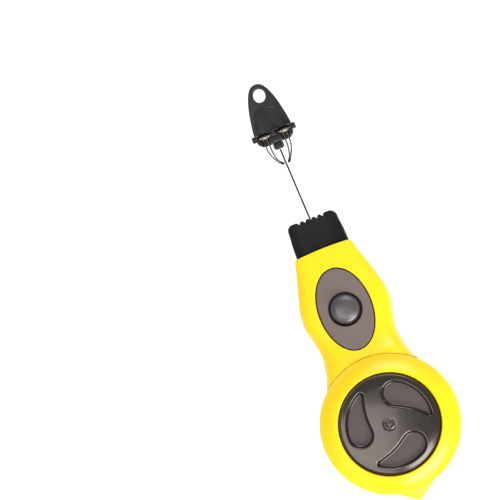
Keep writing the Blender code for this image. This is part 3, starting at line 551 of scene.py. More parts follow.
def studio():
    scene = bpy.context.scene
    world = bpy.data.worlds.new("studio")
    scene.world = world
    world.use_nodes = True
    sky = world.node_tree.nodes["Background"]
    sky.inputs["Color"].default_value = (1.0, 1.0, 1.0, 1.0)
    sky.inputs["Strength"].default_value = WORLD_LIGHT
    scene.view_settings.view_transform = "Standard"
    lower_right = RIGHT * 0.64 - UP * 0.77
    lower_left = -RIGHT * 0.72 - UP * 0.70
    softbox("key", lower_right + Vector((0, 0, 0.58)), 0.9, 0.70, KEY_WATTS, size_y=0.36)
    softbox("high", lower_right * 0.5 + Vector((0, 0, 0.9)), 1.0, 0.3, HIGH_WATTS)
    softbox("side", -RIGHT * 0.55 - UP * 0.8 + Vector((0, 0, 0.6)), 0.9, 0.5, SIDE_WATTS, size_y=0.3)
    softbox("fill", UP + Vector((0, 0, 0.7)), 1.0, 0.6, FILL_WATTS)
    softbox("overhead", lower_left * 0.40 + Vector((0, 0, 1.0)), 1.1, 0.66, OVERHEAD_WATTS)
    corners = [(x * FLOOR_HALF, y * FLOOR_HALF, FLOOR_Z) for x, y in ((-1, -1), (1, -1), (1, 1), (-1, 1))]
    floor = from_faces("floor", corners, [(0, 1, 2, 3)], outwards=False)
    paper = bpy.data.materials.new("floor_paper")
    paper.use_nodes = True
    shader = paper.node_tree.nodes["Principled BSDF"]
    shader.inputs["Base Color"].default_value = (0.2, 0.2, 0.2, 1.0)
    shader.inputs["Roughness"].default_value = 0.9
    shader.inputs["Specular IOR Level"].default_value = 0.1
    shader.inputs["Emission Color"].default_value = (1.0, 1.0, 1.0, 1.0)
    shader.inputs["Emission Strength"].default_value = FLOOR_GLOW
    floor.data.materials.append(paper)


camera()
studio()


# ------------ the yellow case
# (y, half-width) of the handle's side, from the drum past the nose
HANDLE_SIDE = [(25.2, 24.58), (28.0, 23.4), (31.5, 21.95), (36.0, 20.9), (43.5, 19.95), (51.0, 20.95),
               (57.0, 22.45), (62.0, 22.9), (68.0, 22.25), (75.0, 20.3), (83.0, 17.9), (90.0, 15.9),
               (97.0, 14.4)]
SIDE = np.array(catmull([(x, y) for y, x in HANDLE_SIDE], 0.7))
TAIL_JOIN_X = 9.6
TAIL_JOIN = (TAIL_JOIN_X, -math.sqrt(DRUM_RADIUS ** 2 - TAIL_JOIN_X ** 2))
TAIL_BLUNT_X, TAIL_BLUNT_Y = 0.45, TAIL_TIP + 0.12
RIDGE_Y, RIDGE_HIGH, RIDGE_SLOPE = 36.0, 25.6, 7.2 / 57.0
SEAM_RISE, SEAM_REACH, SEAM_FULLNESS = 1.5, 4.5, 4.0
SEAM_GAP = 0.14
CROWN, CROWN_FOOT = 3.0, 13.6


def half_width(y):
    return np.interp(y, SIDE[:, 1], SIDE[:, 0])


def ridge(y):
    """Height of the handle's front along its middle."""
    y = np.asarray(y, float)
    seam = SEAM_RISE * np.exp(-np.maximum(y - RIDGE_Y, 0.0) / SEAM_REACH)
    return RIDGE_HIGH - RIDGE_SLOPE * (y - RIDGE_Y) + seam


def handle_height(xy):
    """The crowned front of the handle, flatter and fuller where it meets the ring."""
    xy = np.asarray(xy, float)
    share = np.clip(np.abs(xy[:, 0]) / half_width(xy[:, 1]), 0, 1)
    beyond = np.maximum(np.hypot(xy[:, 0], xy[:, 1]) - DRUM_RADIUS, 0.0)
    crown = CROWN + SEAM_FULLNESS * np.exp(-beyond / 7.0)
    return CROWN_FOOT + (ridge(xy[:, 1]) - CROWN_FOOT) * (1 - share ** crown) ** (1 / crown)


def end_arch(x):
    """How far the case's end bulges towards the nose."""
    return 0.6 * (1 - (np.asarray(x, float) / 14.5) ** 2)


def case_side(start_radius):
    """The handle's right side from the drum to the shoulder at the nose."""
    points = [(x, y) for x, y in SIDE if math.hypot(x, y) > start_radius and y < CASE_END - 2.2]
    corner = [(float(half_width(CASE_END - 0.9)) - 0.2, CASE_END - 0.9), (14.45, CASE_END - 0.3)]
    return points + corner + [(13.9, CASE_END)]


def case_outline(tail=True):
    join = math.degrees(math.atan2(TAIL_JOIN[1], TAIL_JOIN[0]))
    top = math.degrees(math.atan2(SIDE[0][1], SIDE[0][0]))
    if tail:
        start = [(0.0, TAIL_TIP), (TAIL_BLUNT_X, TAIL_BLUNT_Y)]
        tip = [(TAIL_BLUNT_X + (TAIL_JOIN[0] - TAIL_BLUNT_X) * k / 8,
                TAIL_BLUNT_Y + (TAIL_JOIN[1] - TAIL_BLUNT_Y) * k / 8) for k in range(1, 8)]
        drum = start + tip + arc((0, 0), DRUM_RADIUS, join, top, 90)
    else:
        drum = arc((0, 0), DRUM_RADIUS, -90.0, top, 110)
    return mirrored(drum + case_side(DRUM_RADIUS + 0.2))


def flat(z):
    """Height function of a level face."""
    return lambda xy: np.full(len(xy), float(z))


def rear_shell():
    outline = case_outline()
    obj = slab("rear_shell_skin", outline, flat(SPLIT), flat(0.0), 0.35, 2.4, low_radius=2.8)
    inner = evenly(offset(evenly(case_outline(tail=False), 1.2), 2.2), 2.0)
    hollow = slab("hollow", inner, flat(SPLIT + 9.0), flat(2.2), 0.05, 6.0)
    boolean(obj, hollow)
    for number in range(1, 7):
        centre = (centre_of(f"case_screw_{number}", 0), centre_of(f"case_screw_{number}", 1))
        boss = lathe("boss", [(0.0, SPLIT), (2.9, SPLIT), (2.9, 1.2), (0.0, 1.2)], 32, centre)
        boolean(obj, boss, "UNION")
        sink = [(0.0, -1.0), (2.65, -1.0), (2.65, 0.12), (2.4, 0.3), (2.4, 1.5), (1.4, 1.5), (1.4, 13.0),
                (0.0, 13.0)]
        boolean(obj, lathe("sink", sink, 48, centre))
    dish = [(0.0, -1.0), (7.3, -1.0), (7.3, 0.1), (7.1, 0.3), (7.1, 1.2), (5.8, 1.2), (5.8, 5.0), (0.0, 5.0)]
    boolean(obj, lathe("plug_sink", dish, 72, (0.0, centre_of("filler_plug", 1))))
    dress(obj, "case", YELLOW, ["rear_shell"])


def tail_point():
    """The plumb point's front face, which falls from the ring to the tip."""
    ring = DRUM_RADIUS + SEAM_GAP
    edge_angle = math.degrees(math.asin(8.9 / ring))
    inner_arc = arc((0, 0), ring, -90 + edge_angle, -90 - edge_angle, 24)
    slope = (TAIL_JOIN[1] - TAIL_BLUNT_Y) / (TAIL_JOIN[0] - TAIL_BLUNT_X)
    flank = [(x, TAIL_BLUNT_Y + slope * (x - TAIL_BLUNT_X)) for x in (0.5, 3.0, 6.0, 8.5)]
    wedge = [(0.0, TAIL_TIP)] + flank + inner_arc + [(-x, y) for x, y in reversed(flank)]
    top = span("rear_shell", 2)[1]

    def fall(xy):
        return top + 1.6 - 0.75 * (np.hypot(xy[:, 0], xy[:, 1]) - DRUM_RADIUS)

    point = slab("tail_point_skin", wedge, fall, flat(SPLIT - 2.0), 0.3, 1.2)
    dress(point, "case", YELLOW)


def drum_cover():
    """The ring round the dial, falling from its lip to the seam."""
    r0, r1, front = DRUM_RADIUS - 8.7, DRUM_RADIUS - 0.35, DRUM_FRONT
    s0, s1 = 0.26, 1.08
    dome = []
    for k in range(25):
        t = k / 24
        r = r0 + (r1 - r0) * t
        dome.append((r, front - (r1 - r0) * (s0 * t + (s1 - s0) * t * t / 2)))
    edge_z = dome[-1][1]
    lip = [(LIP_RADIUS, front - 2.4), (LIP_RADIUS, front - 1.2), (LIP_RADIUS + 0.07, front - 0.8),
           (LIP_RADIUS + 0.25, front - 0.42), (LIP_RADIUS + 0.55, front - 0.12)]
    wall = [(DRUM_RADIUS - 0.12, edge_z - 0.28), (DRUM_RADIUS, edge_z - 0.7), (DRUM_RADIUS, edge_z - 3.0),
            (DRUM_RADIUS, SPLIT + GAP + 0.4), (DRUM_RADIUS - 0.1, SPLIT + GAP + 0.1),
            (DRUM_RADIUS - 0.4, SPLIT + GAP), (DRUM_RADIUS - 2.2, SPLIT + GAP), (DRUM_RADIUS - 2.2, 25.2),
            (DRUM_RADIUS - 3.4, 27.6), (DRUM_RADIUS - 5.8, 29.8), (DRUM_RADIUS - 7.8, 31.1)]
    obj = lathe("drum_cover_skin", lip + dome + wall, 192)
    dress(obj, "case", YELLOW, ["drum_cover"], angle=50)


def handle_cover():
    """Rings between the pad's recess and the outline, over the crowned front."""
    seam = DRUM_RADIUS + SEAM_GAP
    side = case_side(seam + 0.35)
    start = math.degrees(math.atan2(side[0][1], side[0][0]))
    bottom = arc((0, 0), seam, 90.0, start, 44)[:-1]
    end = [(13.6 * k / 14, CASE_END + float(end_arch(13.6 * k / 14))) for k in range(13, -1, -1)]
    right = bottom + side[:-1] + [(14.1, CASE_END + 0.02)] + end
    outline = mirrored(right)
    count = len(outline)
    semi_x, semi_y = PAD_X + 0.5, PAD_HALF + 0.45
    inner = []
    for x, y in outline:
        a = math.atan2(y - PAD_Y, x)
        reach = 1 / math.hypot(math.cos(a) / semi_x, math.sin(a) / semi_y)
        inner.append((reach * math.cos(a), PAD_Y + reach * math.sin(a)))
    inner, outer = np.array(inner), np.array(outline)
    rings = [(inner, -1.7), (inner, -0.32), (inner + (outer - inner) * 0.006, -0.09)]
    total = 34
    for k in range(total + 1):
        u = 1 - (1 - k / total) ** 1.9
        rings.append((inner + (outer - inner) * (0.022 + (0.968 - 0.022) * u), 0.0))
    shrink = outer + (inner - outer) / np.linalg.norm(inner - outer, axis=1)[:, None] * 0.07
    rings += [(shrink, -0.09), (outer, -0.34)]
    verts = []
    for xy, drop in rings:
        z = np.maximum(handle_height(xy) + drop, SPLIT + GAP + 0.5)
        verts += [(float(x), float(y), float(h)) for (x, y), h in zip(xy, z)]
    verts += [(float(x), float(y), SPLIT + GAP) for x, y in outer]
    faces = [(a, d, c, b) for a, b, c, d in quads(len(rings) + 1, count)]
    obj = from_faces("handle_cover_skin", verts, faces, outwards=False)
    wall = obj.modifiers.new("wall", "SOLIDIFY")
    wall.thickness = 0.25 * MM
    wall.offset = -1.0
    dress(obj, "case", YELLOW, ["handle_cover"], angle=50)


rear_shell()
tail_point()
drum_cover()
handle_cover()


# ------------ pad and button
BUTTON_RADIUS, WELL_RADIUS = 7.25, 8.6
PAD_PROUD, PAD_THICK = 0.12, 1.52


def thumb_pad():
    """The grey insert with the button's well, and a black ring at the well's bottom, painted shade in the gap
    round the button.
    """
    well = arc((0.0, BUTTON_Y), WELL_RADIUS, 0.0, 360.0, 96)[:-1]
    loop = ellipse(PAD_Y, PAD_X - 0.1, PAD_HALF - 0.1, 150)
    obj = slab("thumb_pad_skin", loop, lambda xy: handle_height(xy) + PAD_PROUD,
               lambda xy: handle_height(xy) + PAD_PROUD - PAD_THICK, 0.4, 1.3, holes=[well])
    dress(obj, "case", GREY, ["thumb_pad"], angle=50)
    middle = float(ridge(BUTTON_Y))
    # Black rubber ring under the gap round the button: painted shade in the well.
    profile = [(7.6, middle - 1.5), (8.9, middle - 1.5), (8.9, middle - 2.1), (7.6, middle - 2.1)]
    floor = lathe("button_well_painted_shade", profile, 96, (0.0, BUTTON_Y))
    dress(floor, "case", RUBBER)


def release_button():
    """Fuller dome than a sphere's, over a flange under the cover and a foot."""
    low, high = span("release_button", 2)
    rim_z, radius = high - 2.9, BUTTON_RADIUS
    dome = []
    for k in range(29):
        r = radius * math.sin(math.pi / 2 * k / 28)
        dome.append((r, rim_z + (high - rim_z) * (max(0.0, 1 - (r / radius) ** 2.7)) ** (1 / 2.3)))
    profile = dome + [(radius, rim_z - 1.5), (radius, low + 3.0), (9.0, low + 3.0), (9.0, low + 1.5),
                      (3.0, low + 1.5), (3.0, low + 0.6), (1.5, low), (0.0, low)]
    obj = lathe("release_button_skin", profile, 96, (0.0, BUTTON_Y))
    dress(obj, "button", SATIN, ["release_button"], angle=50)


thumb_pad()
release_button()


# ------------ the dial
HEAD_PLACE, HEAD_RADIUS, HOLLOW_OUTER = 15.475, 7.025, 22.5
HOLLOW_INNER = [(8.45, 0.0), (10.1, -30.0), (13.1, -50.0), (16.4, -63.0)]
TIP_ANGLE, TIP_RADIUS = -64.5, 2.3
RAISE = 0.8                # the dial stands this much higher than its plain disc
SHOULDER, SHOULDER_START = 0.9, 19.0
HOLLOW_DEPTH, WALL_REACH = 2.6, 1.75
WALL_STEPS = [0.0, 0.03, 0.17, 0.20, 0.32, 0.36, 0.78, 0.83, 0.97, 1.0]    # shares of the wall's reach
WALL_FALLS = [0.0, 0.006, 0.067, 0.088, 0.206, 0.29, HOLLOW_DEPTH - 0.3, HOLLOW_DEPTH - 0.12,
              HOLLOW_DEPTH - 0.02, HOLLOW_DEPTH]
BOSS_RINGS = [1.6, 1.75, 2.0, 2.3, 2.5, 2.65, 2.85, 3.0]
BOSS_RISES = [0.02, 0.14, 0.19, 0.14, 0.02, -0.07, -0.06, 0.0]
BORDER, SCREW_BORE, UNDERSIDE = 1.5, 1.5, 27.5


def finger_hollow(head_angle):
    """Outline of one comma: round head, outer edge round the dial, tail clockwise of the head."""

    def polar(radius, angle):
        a = math.radians(head_angle + angle)
        return (radius * math.cos(a), radius * math.sin(a))

    head = arc(polar(HEAD_PLACE, 0.0), HEAD_RADIUS, head_angle, head_angle + 180.0, 30)
    inner = catmull([polar(r, a) for r, a in HOLLOW_INNER], 0.6)
    turn = head_angle + TIP_ANGLE
    tip = arc(polar(HOLLOW_OUTER - TIP_RADIUS, TIP_ANGLE), TIP_RADIUS, turn - 140.0, turn, 14)
    outer = [polar(HOLLOW_OUTER, TIP_ANGLE * (1 - k / 34)) for k in range(1, 34)]
    return evenly(head[:-1] + inner + tip + outer, 0.4)


def dial_height(commas):
    """Height function of the dial's face: a low dome, a raised ring round the screw and the hollows."""
    top = span("winding_dial", 2)[1]

    def height(xy):
        r = np.hypot(xy[:, 0], xy[:, 1])
        base = top + RAISE - 1.0 * (r / DIAL_RADIUS) ** 2
        base = base - SHOULDER * np.clip((r - SHOULDER_START) / (DIAL_RADIUS - SHOULDER_START), 0, 1) ** 2
        base = base + np.interp(r, BOSS_RINGS, BOSS_RISES)
        for comma in commas:
            d = distance(xy, comma)
            fall = np.interp(np.clip(d / WALL_REACH, 0, 1), WALL_STEPS, WALL_FALLS)
            base = np.where(d > 0, base - fall, base)
        return base

    return height


def winding_dial():
    """The face with its three hollows, the border that falls to the ring, and the sleeve behind."""
    commas = [finger_hollow(180.0 + 120.0 * i) for i in range(3)]
    edge, steps = DIAL_RADIUS - BORDER, 180
    rim = arc((0, 0), edge, 0.0, 360.0, steps)[:-1]
    hole = arc((0, 0), SCREW_BORE, 0.0, 360.0, 32)[:-1]
    insets = [-0.3] + [step * WALL_REACH for step in WALL_STEPS]
    rings = [(comma, insets) for comma in commas]
    rings += [(arc((0, 0), r, 0.0, 360.0, 72)[:-1], [0.0]) for r in BOSS_RINGS]
    height = dial_height(commas)
    bm = bmesh.new()
    add_faces(bm, *surface(rim, rings, 0.9, height, holes=[hole]))
    z_edge = float(height(np.array([[edge, 0.0]]))[0])
    low = span("winding_dial", 2)[0]
    z_bore = float(height(np.array([[SCREW_BORE, 0.0]]))[0])
    skirt = [(edge, z_edge), (edge + 0.2, z_edge - 0.03), (edge + 0.5, z_edge - 0.1),
             (DIAL_RADIUS - 0.6, z_edge - 0.34), (DIAL_RADIUS - 0.25, z_edge - 0.6),
             (DIAL_RADIUS - 0.06, z_edge - 0.85), (DIAL_RADIUS, z_edge - 1.1), (DIAL_RADIUS, UNDERSIDE),
             (17.4, UNDERSIDE), (17.4, low), (15.9, low), (15.9, UNDERSIDE), (SCREW_BORE, UNDERSIDE),
             (SCREW_BORE, z_bore)]
    turns = [(math.cos(2 * math.pi * i / steps), math.sin(2 * math.pi * i / steps)) for i in range(steps)]
    loops = [[bm.verts.new((r * c, r * s, z)) for c, s in turns] for r, z in skirt]
    for first, second in zip(loops, loops[1:]):
        for i in range(steps):
            j = (i + 1) % steps
            bm.faces.new((first[i], second[i], second[j], first[j]))
    bmesh.ops.remove_doubles(bm, verts=bm.verts, dist=0.002)
    bmesh.ops.recalc_face_normals(bm, faces=bm.faces)
    obj = as_object("winding_dial_skin", bm)
    dress(obj, "reel", GLOSS, ["winding_dial"], angle=55)
    obj.data.materials.append(FLOOR_GREY)
    obj.data.materials.append(DIAL_EDGE_REFLECTION)
    # Sunk faces take the hollows' grey; faces on the outer bevel take the edge colour, a painted reflection
    # of the yellow ring.
    middles = np.array([tuple(face.center) for face in obj.data.polygons]) / MM
    sunk = np.max([distance(middles[:, :2], comma) for comma in commas], axis=0) > 0.985 * WALL_REACH
    reflection_band = (np.hypot(middles[:, 0], middles[:, 1]) > edge + 0.4) & (middles[:, 2] > z_edge - 1.2)
    slots = np.where(sunk & (middles[:, 2] > 28.0), 1, np.where(reflection_band, 2, 0))
    obj.data.polygons.foreach_set("material_index", slots.astype(np.int32))


def dial_screw():
    """Small screw with a cross recess, standing in the dial's raised ring."""
    low, high = span("dial_screw", 2)
    high += 0.5
    profile = [(0.0, high - 0.02), (0.9, high - 0.05), (1.3, high - 0.22), (1.43, high - 0.5),
               (1.43, high - 1.3), (0.9, high - 1.3), (0.9, low), (0.0, low)]
    obj = lathe("dial_screw_skin", profile, 48)
    for turn in (20.0, 110.0):
        slot = block("slot", (-0.8, -0.14, high - 0.45), (0.8, 0.14, high + 1.0))
        slot.data.transform(Matrix.Rotation(math.radians(turn), 4, "Z"))
        boolean(obj, slot)
    dress(obj, "case", SCREW_DARK, ["dial_screw"])


winding_dial()
dial_screw()


# ------------ the nose
NOTCHES = (-6.2, -3.1, 0.0, 3.1, 6.2)
NOTCH_DEPTH, NOTCH_HALF = 1.55, 0.95
NOSE_HALF, NOSE_END_HALF, NOSE_CORNER = 13.85, 12.9, 3.2


def nose_outline():
    """Plan of the nose: arched foot, slightly tapered sides, round corners, V notches with round teeth."""
    foot = [(NOSE_HALF * k / 12, CASE_END + GAP + float(end_arch(NOSE_HALF * k / 12))) for k in range(0, 13)]
    centre = (NOSE_END_HALF - NOSE_CORNER, NOSE_END - NOSE_CORNER)
    side = [(NOSE_HALF - 0.1, 95.0), (NOSE_HALF - 0.2, 98.0), (NOSE_HALF - 0.35, 101.0),
            (NOSE_END_HALF + 0.12, 105.0)]
    right = foot + side + arc(centre, NOSE_CORNER, 8.0, 90.0, 10)
    flank = [(NOTCH_HALF + 0.45, 0.02), (NOTCH_HALF, 0.22), (0.62 * NOTCH_HALF, 0.62),
             (0.28, NOTCH_DEPTH - 0.12)]
    notch = flank + [(0.0, NOTCH_DEPTH)] + [(-x, depth) for x, depth in reversed(flank)]
    end = [(middle + x, NOSE_END - depth) for middle in sorted(NOTCHES, reverse=True) for x, depth in notch]
    left = [(-x, y) for x, y in reversed(right) if abs(x) > 1e-6]
    return evenly(right + end + left, 0.42)


def nose_cap():
    """The nose's own crowned block with its mouth, and the spigot that holds it in the case."""
    half = NOSE_THICK / 2

    def crown(xy):
        share = np.clip(np.abs(xy[:, 0]) / (NOSE_HALF + 0.5), 0, 1)
        return half * (1 - share ** 6) ** (1 / 6) - 0.26 * np.maximum(np.abs(xy[:, 0]) - 7.6, 0)

    obj = slab("nose_cap_skin", nose_outline(), lambda xy: half + crown(xy), lambda xy: half - crown(xy),
               0.45, 0.9)
    mouth = block("mouth", (-10.4, 93.9, 2.2), (10.4, 120.0, 13.8), 0.9)
    boolean(obj, mouth)
    spigot = block("spigot", (-11.5, span("nose_cap", 1)[0], 2.9), (11.5, 94.6, 14.5), 0.3)
    boolean(spigot, block("wiper_box", (-8.0, 79.0, 4.2), (8.0, 90.0, 12.6)))
    boolean(obj, spigot, "UNION")
    bore = lathe("bore", [(0.0, 8.0), (2.5, 8.0), (2.5, -8.0), (0.0, -8.0)], 32)
    bore.data.transform(Matrix.Translation((0, 92.0 * MM, PIN_Z * MM)) @ Matrix.Rotation(math.pi / 2, 4, "X"))
    boolean(obj, bore)
    dress(obj, "case", BLACK, ["nose_cap"], angle=45)


nose_cap()


# ------------ the hook
# (y, half-width) of the tab's side
TAB_SIDE = [(157.5, 9.9), (159.0, 9.9), (162.0, 9.6), (165.0, 9.1), (168.0, 8.55), (171.0, 7.9), (174.0, 7.1),
            (177.0, 6.05), (179.6, 4.9)]
TAB_END_RADIUS = 4.9
EYE_Y, EYE_X, EYE_HALF = 176.95, 3.15, 3.5
FLANGE_LOW, FLANGE_HIGH, COLLAR_LOW = 155.5, 158.5, 152.0
WIRE_RADIUS, TIP_SWELL, EYE_BORE, EYE_RADIUS = 0.40, 0.16, 0.95, 1.3
BRAID_PITCH, LINE_RADIUS = 1.8, 0.45


def aside(obj):
    """Moves a finished piece of the hook from the reel's middle to the hook's own."""
    obj.data.transform(Matrix.Translation((HOOK_X * MM, 0.0, 0.0)))
    return obj


def upright(obj):
    """Stands a plate drawn in X and Z upright, its thickness along Y."""
    obj.data.transform(Matrix(((1, 0, 0, 0), (0, 0, 1, 0), (0, 1, 0, 0), (0, 0, 0, 1))))
    obj.data.flip_normals()
    return obj


def hook_tab():
    """Tapered tab with a hanging eye, a domed grip, a flange with round nubs and a collar with two slots."""
    side = catmull([(x, y) for y, x in TAB_SIDE], 0.6)
    top = arc((0.0, span("hook_tab", 1)[1] - TAB_END_RADIUS), TAB_END_RADIUS, 24.0, 90.0, 14)
    outline = evenly(mirrored(side + top), 0.5)
    eye = evenly(ellipse(EYE_Y, EYE_X, EYE_HALF, 60), 0.45)
    mid, half = PIN_Z, 2.4

    def swell(xy):
        share = np.clip(np.abs(xy[:, 0]) / 10.6, 0, 1)
        return half * (1 - 0.35 * share ** 2)

    obj = slab("hook_tab_skin", outline, lambda xy: mid + swell(xy), lambda xy: mid - swell(xy), 0.6, 0.8,
               holes=[eye])
    grip_side = [(8.1, 157.8), (8.0, 161.0), (7.6, 164.4), (6.7, 167.4), (5.1, 169.7), (2.7, 170.7)]
    grip = evenly(mirrored(catmull(grip_side, 0.5) + [(0.0, 170.95)]), 0.5)

    def dome(xy):
        across = np.clip(np.abs(xy[:, 0]) / 8.6, 0, 1)
        along = np.clip((xy[:, 1] - 158.0) / 13.4, 0, 1)
        return 3.9 * (1 - 0.45 * across ** 2) * (1 - 0.25 * along ** 2)

    lump = slab("grip", grip, lambda xy: mid + dome(xy), lambda xy: mid - dome(xy), 0.7, 0.8)
    boolean(obj, lump, "UNION")
    flange_half = span("hook_tab", 0)[1] - HOOK_X
    upper = [(flange_half, mid + 2.6), (flange_half - 1.3, mid + 3.8), (9.0, mid + 4.6), (8.2, mid + 6.4),
             (6.2, mid + 7.8)]
    lower = [(x, 2 * mid - z) for x, z in reversed(upper)]
    left = [(-x, z) for x, z in reversed(upper)] + [(-x, z) for x, z in reversed(lower)]
    loop = rounded(upper + left + lower, 0.8, 3)
    flange = slab("flange", evenly(loop, 0.6), flat(FLANGE_HIGH), flat(FLANGE_LOW), 0.45, 1.5)
    boolean(obj, upright(flange), "UNION")
    collar_side = [(6.3, COLLAR_LOW), (7.6, COLLAR_LOW + 0.35), (8.7, COLLAR_LOW + 1.1),
                   (9.35, COLLAR_LOW + 2.0), (9.5, COLLAR_LOW + 2.8), (9.5, FLANGE_LOW + 0.6)]
    collar = slab("collar", evenly(mirrored(collar_side), 0.5), flat(12.5), flat(3.5), 0.9, 1.2)
    boolean(obj, collar, "UNION")
    for s in (-1, 1):
        near, far = sorted((s * 3.1, s * 7.5))
        boolean(obj, block("slot", (near, 150.0, mid - 1.8), (far, PIN_Y + 1.8, 20.0), 0.15))
        near, far = sorted((s * 0.9, s * 8.9))
        boolean(obj, block("groove", (near, PIN_Y - 1.0, mid - 1.1), (far, PIN_Y + 1.0, 20.0)))
        near, far = sorted((s * 8.3, s * 8.9))
        boolean(obj, block("rib_gap", (near, 150.0, 11.9), (far, 155.0, 20.0)))
    bore = lathe("bore", [(0.0, 11.0), (1.0, 11.0), (1.0, -11.0), (0.0, -11.0)], 32)
    bore.data.transform(PIN_AXIS)
    boolean(obj, bore)
    boolean(obj, block("pocket", (-1.8, 150.0, 6.2), (1.8, 155.3, 9.8)))
    dress(aside(obj), "hook", BLACK_SATIN, ["hook_tab"], angle=45)


def hook_pin():
    """Chamfered steel pin along the flange; the claws' eyes turn on it."""
    x = span("hook_pin", 0)[1] - HOOK_X
    profile = [(0.0, x), (0.5, x), (0.7, x - 0.2), (0.7, -x + 0.2), (0.5, -x), (0.0, -x)]
    obj = lathe("hook_pin_skin", profile, 32)
    obj.data.transform(PIN_AXIS)
    dress(aside(obj), "hook", STEEL, ["hook_pin"])


def line_anchor():
    """Block that the line is crimped in, with a rib on each side and a mark, and its stem."""
    low, high = span("line_anchor", 1)
    body_end = COLLAR_LOW - 0.3
    obj = block("line_anchor_skin", (-2.0, low, 5.7), (2.0, body_end, 10.3), 0.35)
    for s in (-1, 1):
        x0, x1 = sorted((s * 1.5, s * 2.6))
        boolean(obj, block("rib", (x0, low + 0.5, 5.4), (x1, body_end, 10.6), 0.3), "UNION")
    boolean(obj, block("stem", (-1.5, body_end - 1.0, 6.5), (1.5, high, 9.5), 0.2), "UNION")
    boolean(obj, block("mark", (-0.5, low + 1.1, 10.1), (0.5, body_end - 0.6, 12.0)))
    dress(aside(obj), "hook", BLACK_SATIN, ["line_anchor"], angle=40)


def claw(name, s):
    """One wire bent double, from an eye round the pin to a tip painted dark as shade where the wires meet; s
    is -1 on the left.
    """
    inner = [(4.25, 155.5), (4.25, 151.5), (4.05, 147.5), (3.1, 143.6)]
    outer = [(6.3, 155.5), (6.3, 151.5), (5.7, 147.6), (3.9, 143.6)]
    tip = 0.95 if s < 0 else 1.6
    route = inner + [(tip + 0.1, 141.0), (tip, 140.85), (tip + 0.65, 141.15)] + list(reversed(outer))
    path = [(s * x, y, PIN_Z) for x, y in catmull(route, 0.45)]
    low = span(name, 1)[0]
    radii = [WIRE_RADIUS + TIP_SWELL * math.exp(-max(0.0, y - low - 0.4) / 0.8) for _, y, _ in path]
    obj = tube(f"{name}_skin", path, radii, 14)
    near, far = sorted((s * 3.5, s * 7.05))
    barrel = [(EYE_BORE, far), (EYE_RADIUS, far), (EYE_RADIUS, near), (EYE_BORE, near)]
    eye = lathe("eye", rounded(barrel, 0.12, 2), 32)
    eye.data.transform(PIN_AXIS)
    boolean(obj, eye, "UNION")
    bore = lathe("bore", [(0.0, far + 1), (1.0, far + 1), (1.0, near - 1), (0.0, near - 1)], 32)
    bore.data.transform(PIN_AXIS)
    boolean(obj, bore)
    dress(aside(obj), name, WIRE_STEEL, [name], angle=60)
    # Faces near the tip take the near-black tip colour: painted shade where the wires meet.
    obj.data.materials.append(CLAW_TIP_SHADE)
    for face in obj.data.polygons:
        if face.center.y / MM < low + 1.9:
            face.material_index = 1


def free_line():
    """Line from the guide to the hook's anchor, with the crossing ridges of a plait."""
    start, end = span("free_line", 1)
    reach = end - start
    lean = HOOK_X / reach
    count, sides, radius = 260, 16, LINE_RADIUS
    path = [(lean * reach * i / count, start + reach * i / count, PIN_Z) for i in range(count + 1)]
    verts = []
    for x, y, z in path:
        for k in range(sides):
            a = 2 * math.pi * k / sides
            pitch = 2 * math.pi * (y - start) / BRAID_PITCH
            plait = max(math.cos(4 * a + pitch * 2), math.cos(4 * a - pitch * 2))
            r = radius * (0.93 + 0.07 * plait)
            verts.append((x + r * math.cos(a), y, z + r * math.sin(a)))
    ends = [tuple(range(sides)), tuple(count * sides + k for k in range(sides))]
    obj = from_faces("free_line_skin", verts, quads(count + 1, sides) + ends)
    dress(obj, "case", LINE, ["free_line"], angle=60)
    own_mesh(obj)


hook_tab()
hook_pin()
line_anchor()
claw("claw_left", -1)
claw("claw_right", 1)
free_line()


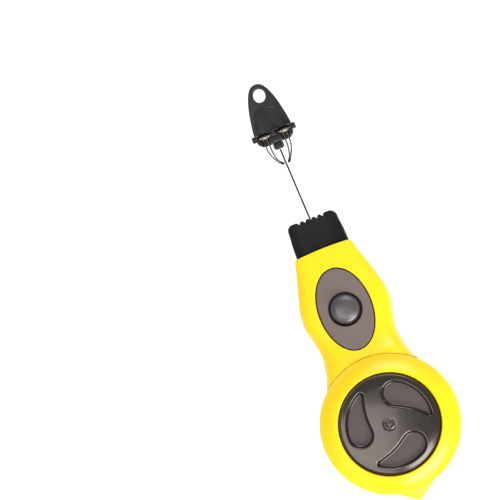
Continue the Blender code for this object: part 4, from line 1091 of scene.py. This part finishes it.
# ------------ screws, plug and what lies inside
def case_screw(name):
    """Pan head with a cross recess, seen from behind."""
    x, y = centre_of(name, 0), centre_of(name, 1)
    bottom, top = span(name, 2)
    profile = [(0.0, top), (0.5, top), (1.1, top - 0.9), (1.1, bottom + 0.9), (2.1, bottom + 0.9),
               (2.1, bottom + 0.35), (1.85, bottom + 0.12), (1.3, bottom + 0.02), (0.0, bottom)]
    obj = lathe(f"{name}_skin", profile, 40)
    for turn in (12.0, 102.0):
        cross = block("cross", (-1.25, -0.22, bottom - 1.0), (1.25, 0.22, bottom + 0.6))
        cross.data.transform(Matrix.Rotation(math.radians(turn + 17.0 * int(name[-1])), 4, "Z"))
        boolean(obj, cross)
    obj.data.transform(Matrix.Translation((x * MM, y * MM, 0.0)))
    dress(obj, "case", STEEL, [name], angle=35)


def filler_plug():
    """Rubber stopper with a raised pull tab in a shallow dish."""
    y = centre_of("filler_plug", 1)
    z0, z1 = span("filler_plug", 2)
    profile = [(0.0, z1), (4.5, z1), (5.5, z1 - 0.9), (5.5, 1.0), (6.8, 0.95), (6.8, z0 + 0.2),
               (6.6, z0 + 0.02), (6.0, z0), (5.6, z0 + 0.12), (5.4, z0 + 0.45), (0.0, z0 + 0.5)]
    obj = lathe("filler_plug_skin", profile, 96, (0.0, y))
    pull = block("pull", (-4.6, y - 0.75, z0 + 0.02), (4.6, y + 0.75, z0 + 0.8), 0.2)
    boolean(obj, pull, "UNION")
    dress(obj, "case", RUBBER, ["filler_plug"], angle=40)


def brake_spring():
    """Coil under the lever's end, made at one length; the real coil shortens by the button's stroke."""
    low, high = span("brake_spring", 2)
    y = centre_of("brake_spring", 1)
    wire, coil, turns, steps, spare = 0.4, 3.0, 4.5, 28, 0.25
    count = int(turns * steps)
    rise = high - low - 2 * wire
    path = []
    for k in range(count + 1):
        turn = 2 * math.pi * k / steps
        path.append((coil * math.cos(turn), y + coil * math.sin(turn), low + wire + rise * k / count))
    obj = tube("brake_spring_skin", path, [wire] * len(path), 12)
    dress(obj, "case", STEEL, ["brake_spring"], angle=60)
    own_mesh(obj)


for number in range(1, 7):
    case_screw(f"case_screw_{number}")
filler_plug()
brake_spring()

INNER = {"brake_lever": BLACK, "brake_pad": FELT, "brake_pivot_pin": STEEL, "spool": BLACK,
         "spring_cover": STEEL, "line_winding": LINE, "mainspring": STEEL, "axle": STEEL,
         "spool_washer": NYLON, "line_guide": BRASS, "felt_wiper_upper": FELT, "felt_wiper_lower": FELT,
         "inner_line": LINE}
for node, finish in INNER.items():
    obj = frame["nodes"][node]
    obj.data.materials.clear()
    obj.data.materials.append(finish)
    obj.data.shade_smooth()
    obj.data.set_sharp_from_angle(angle=math.radians(35))
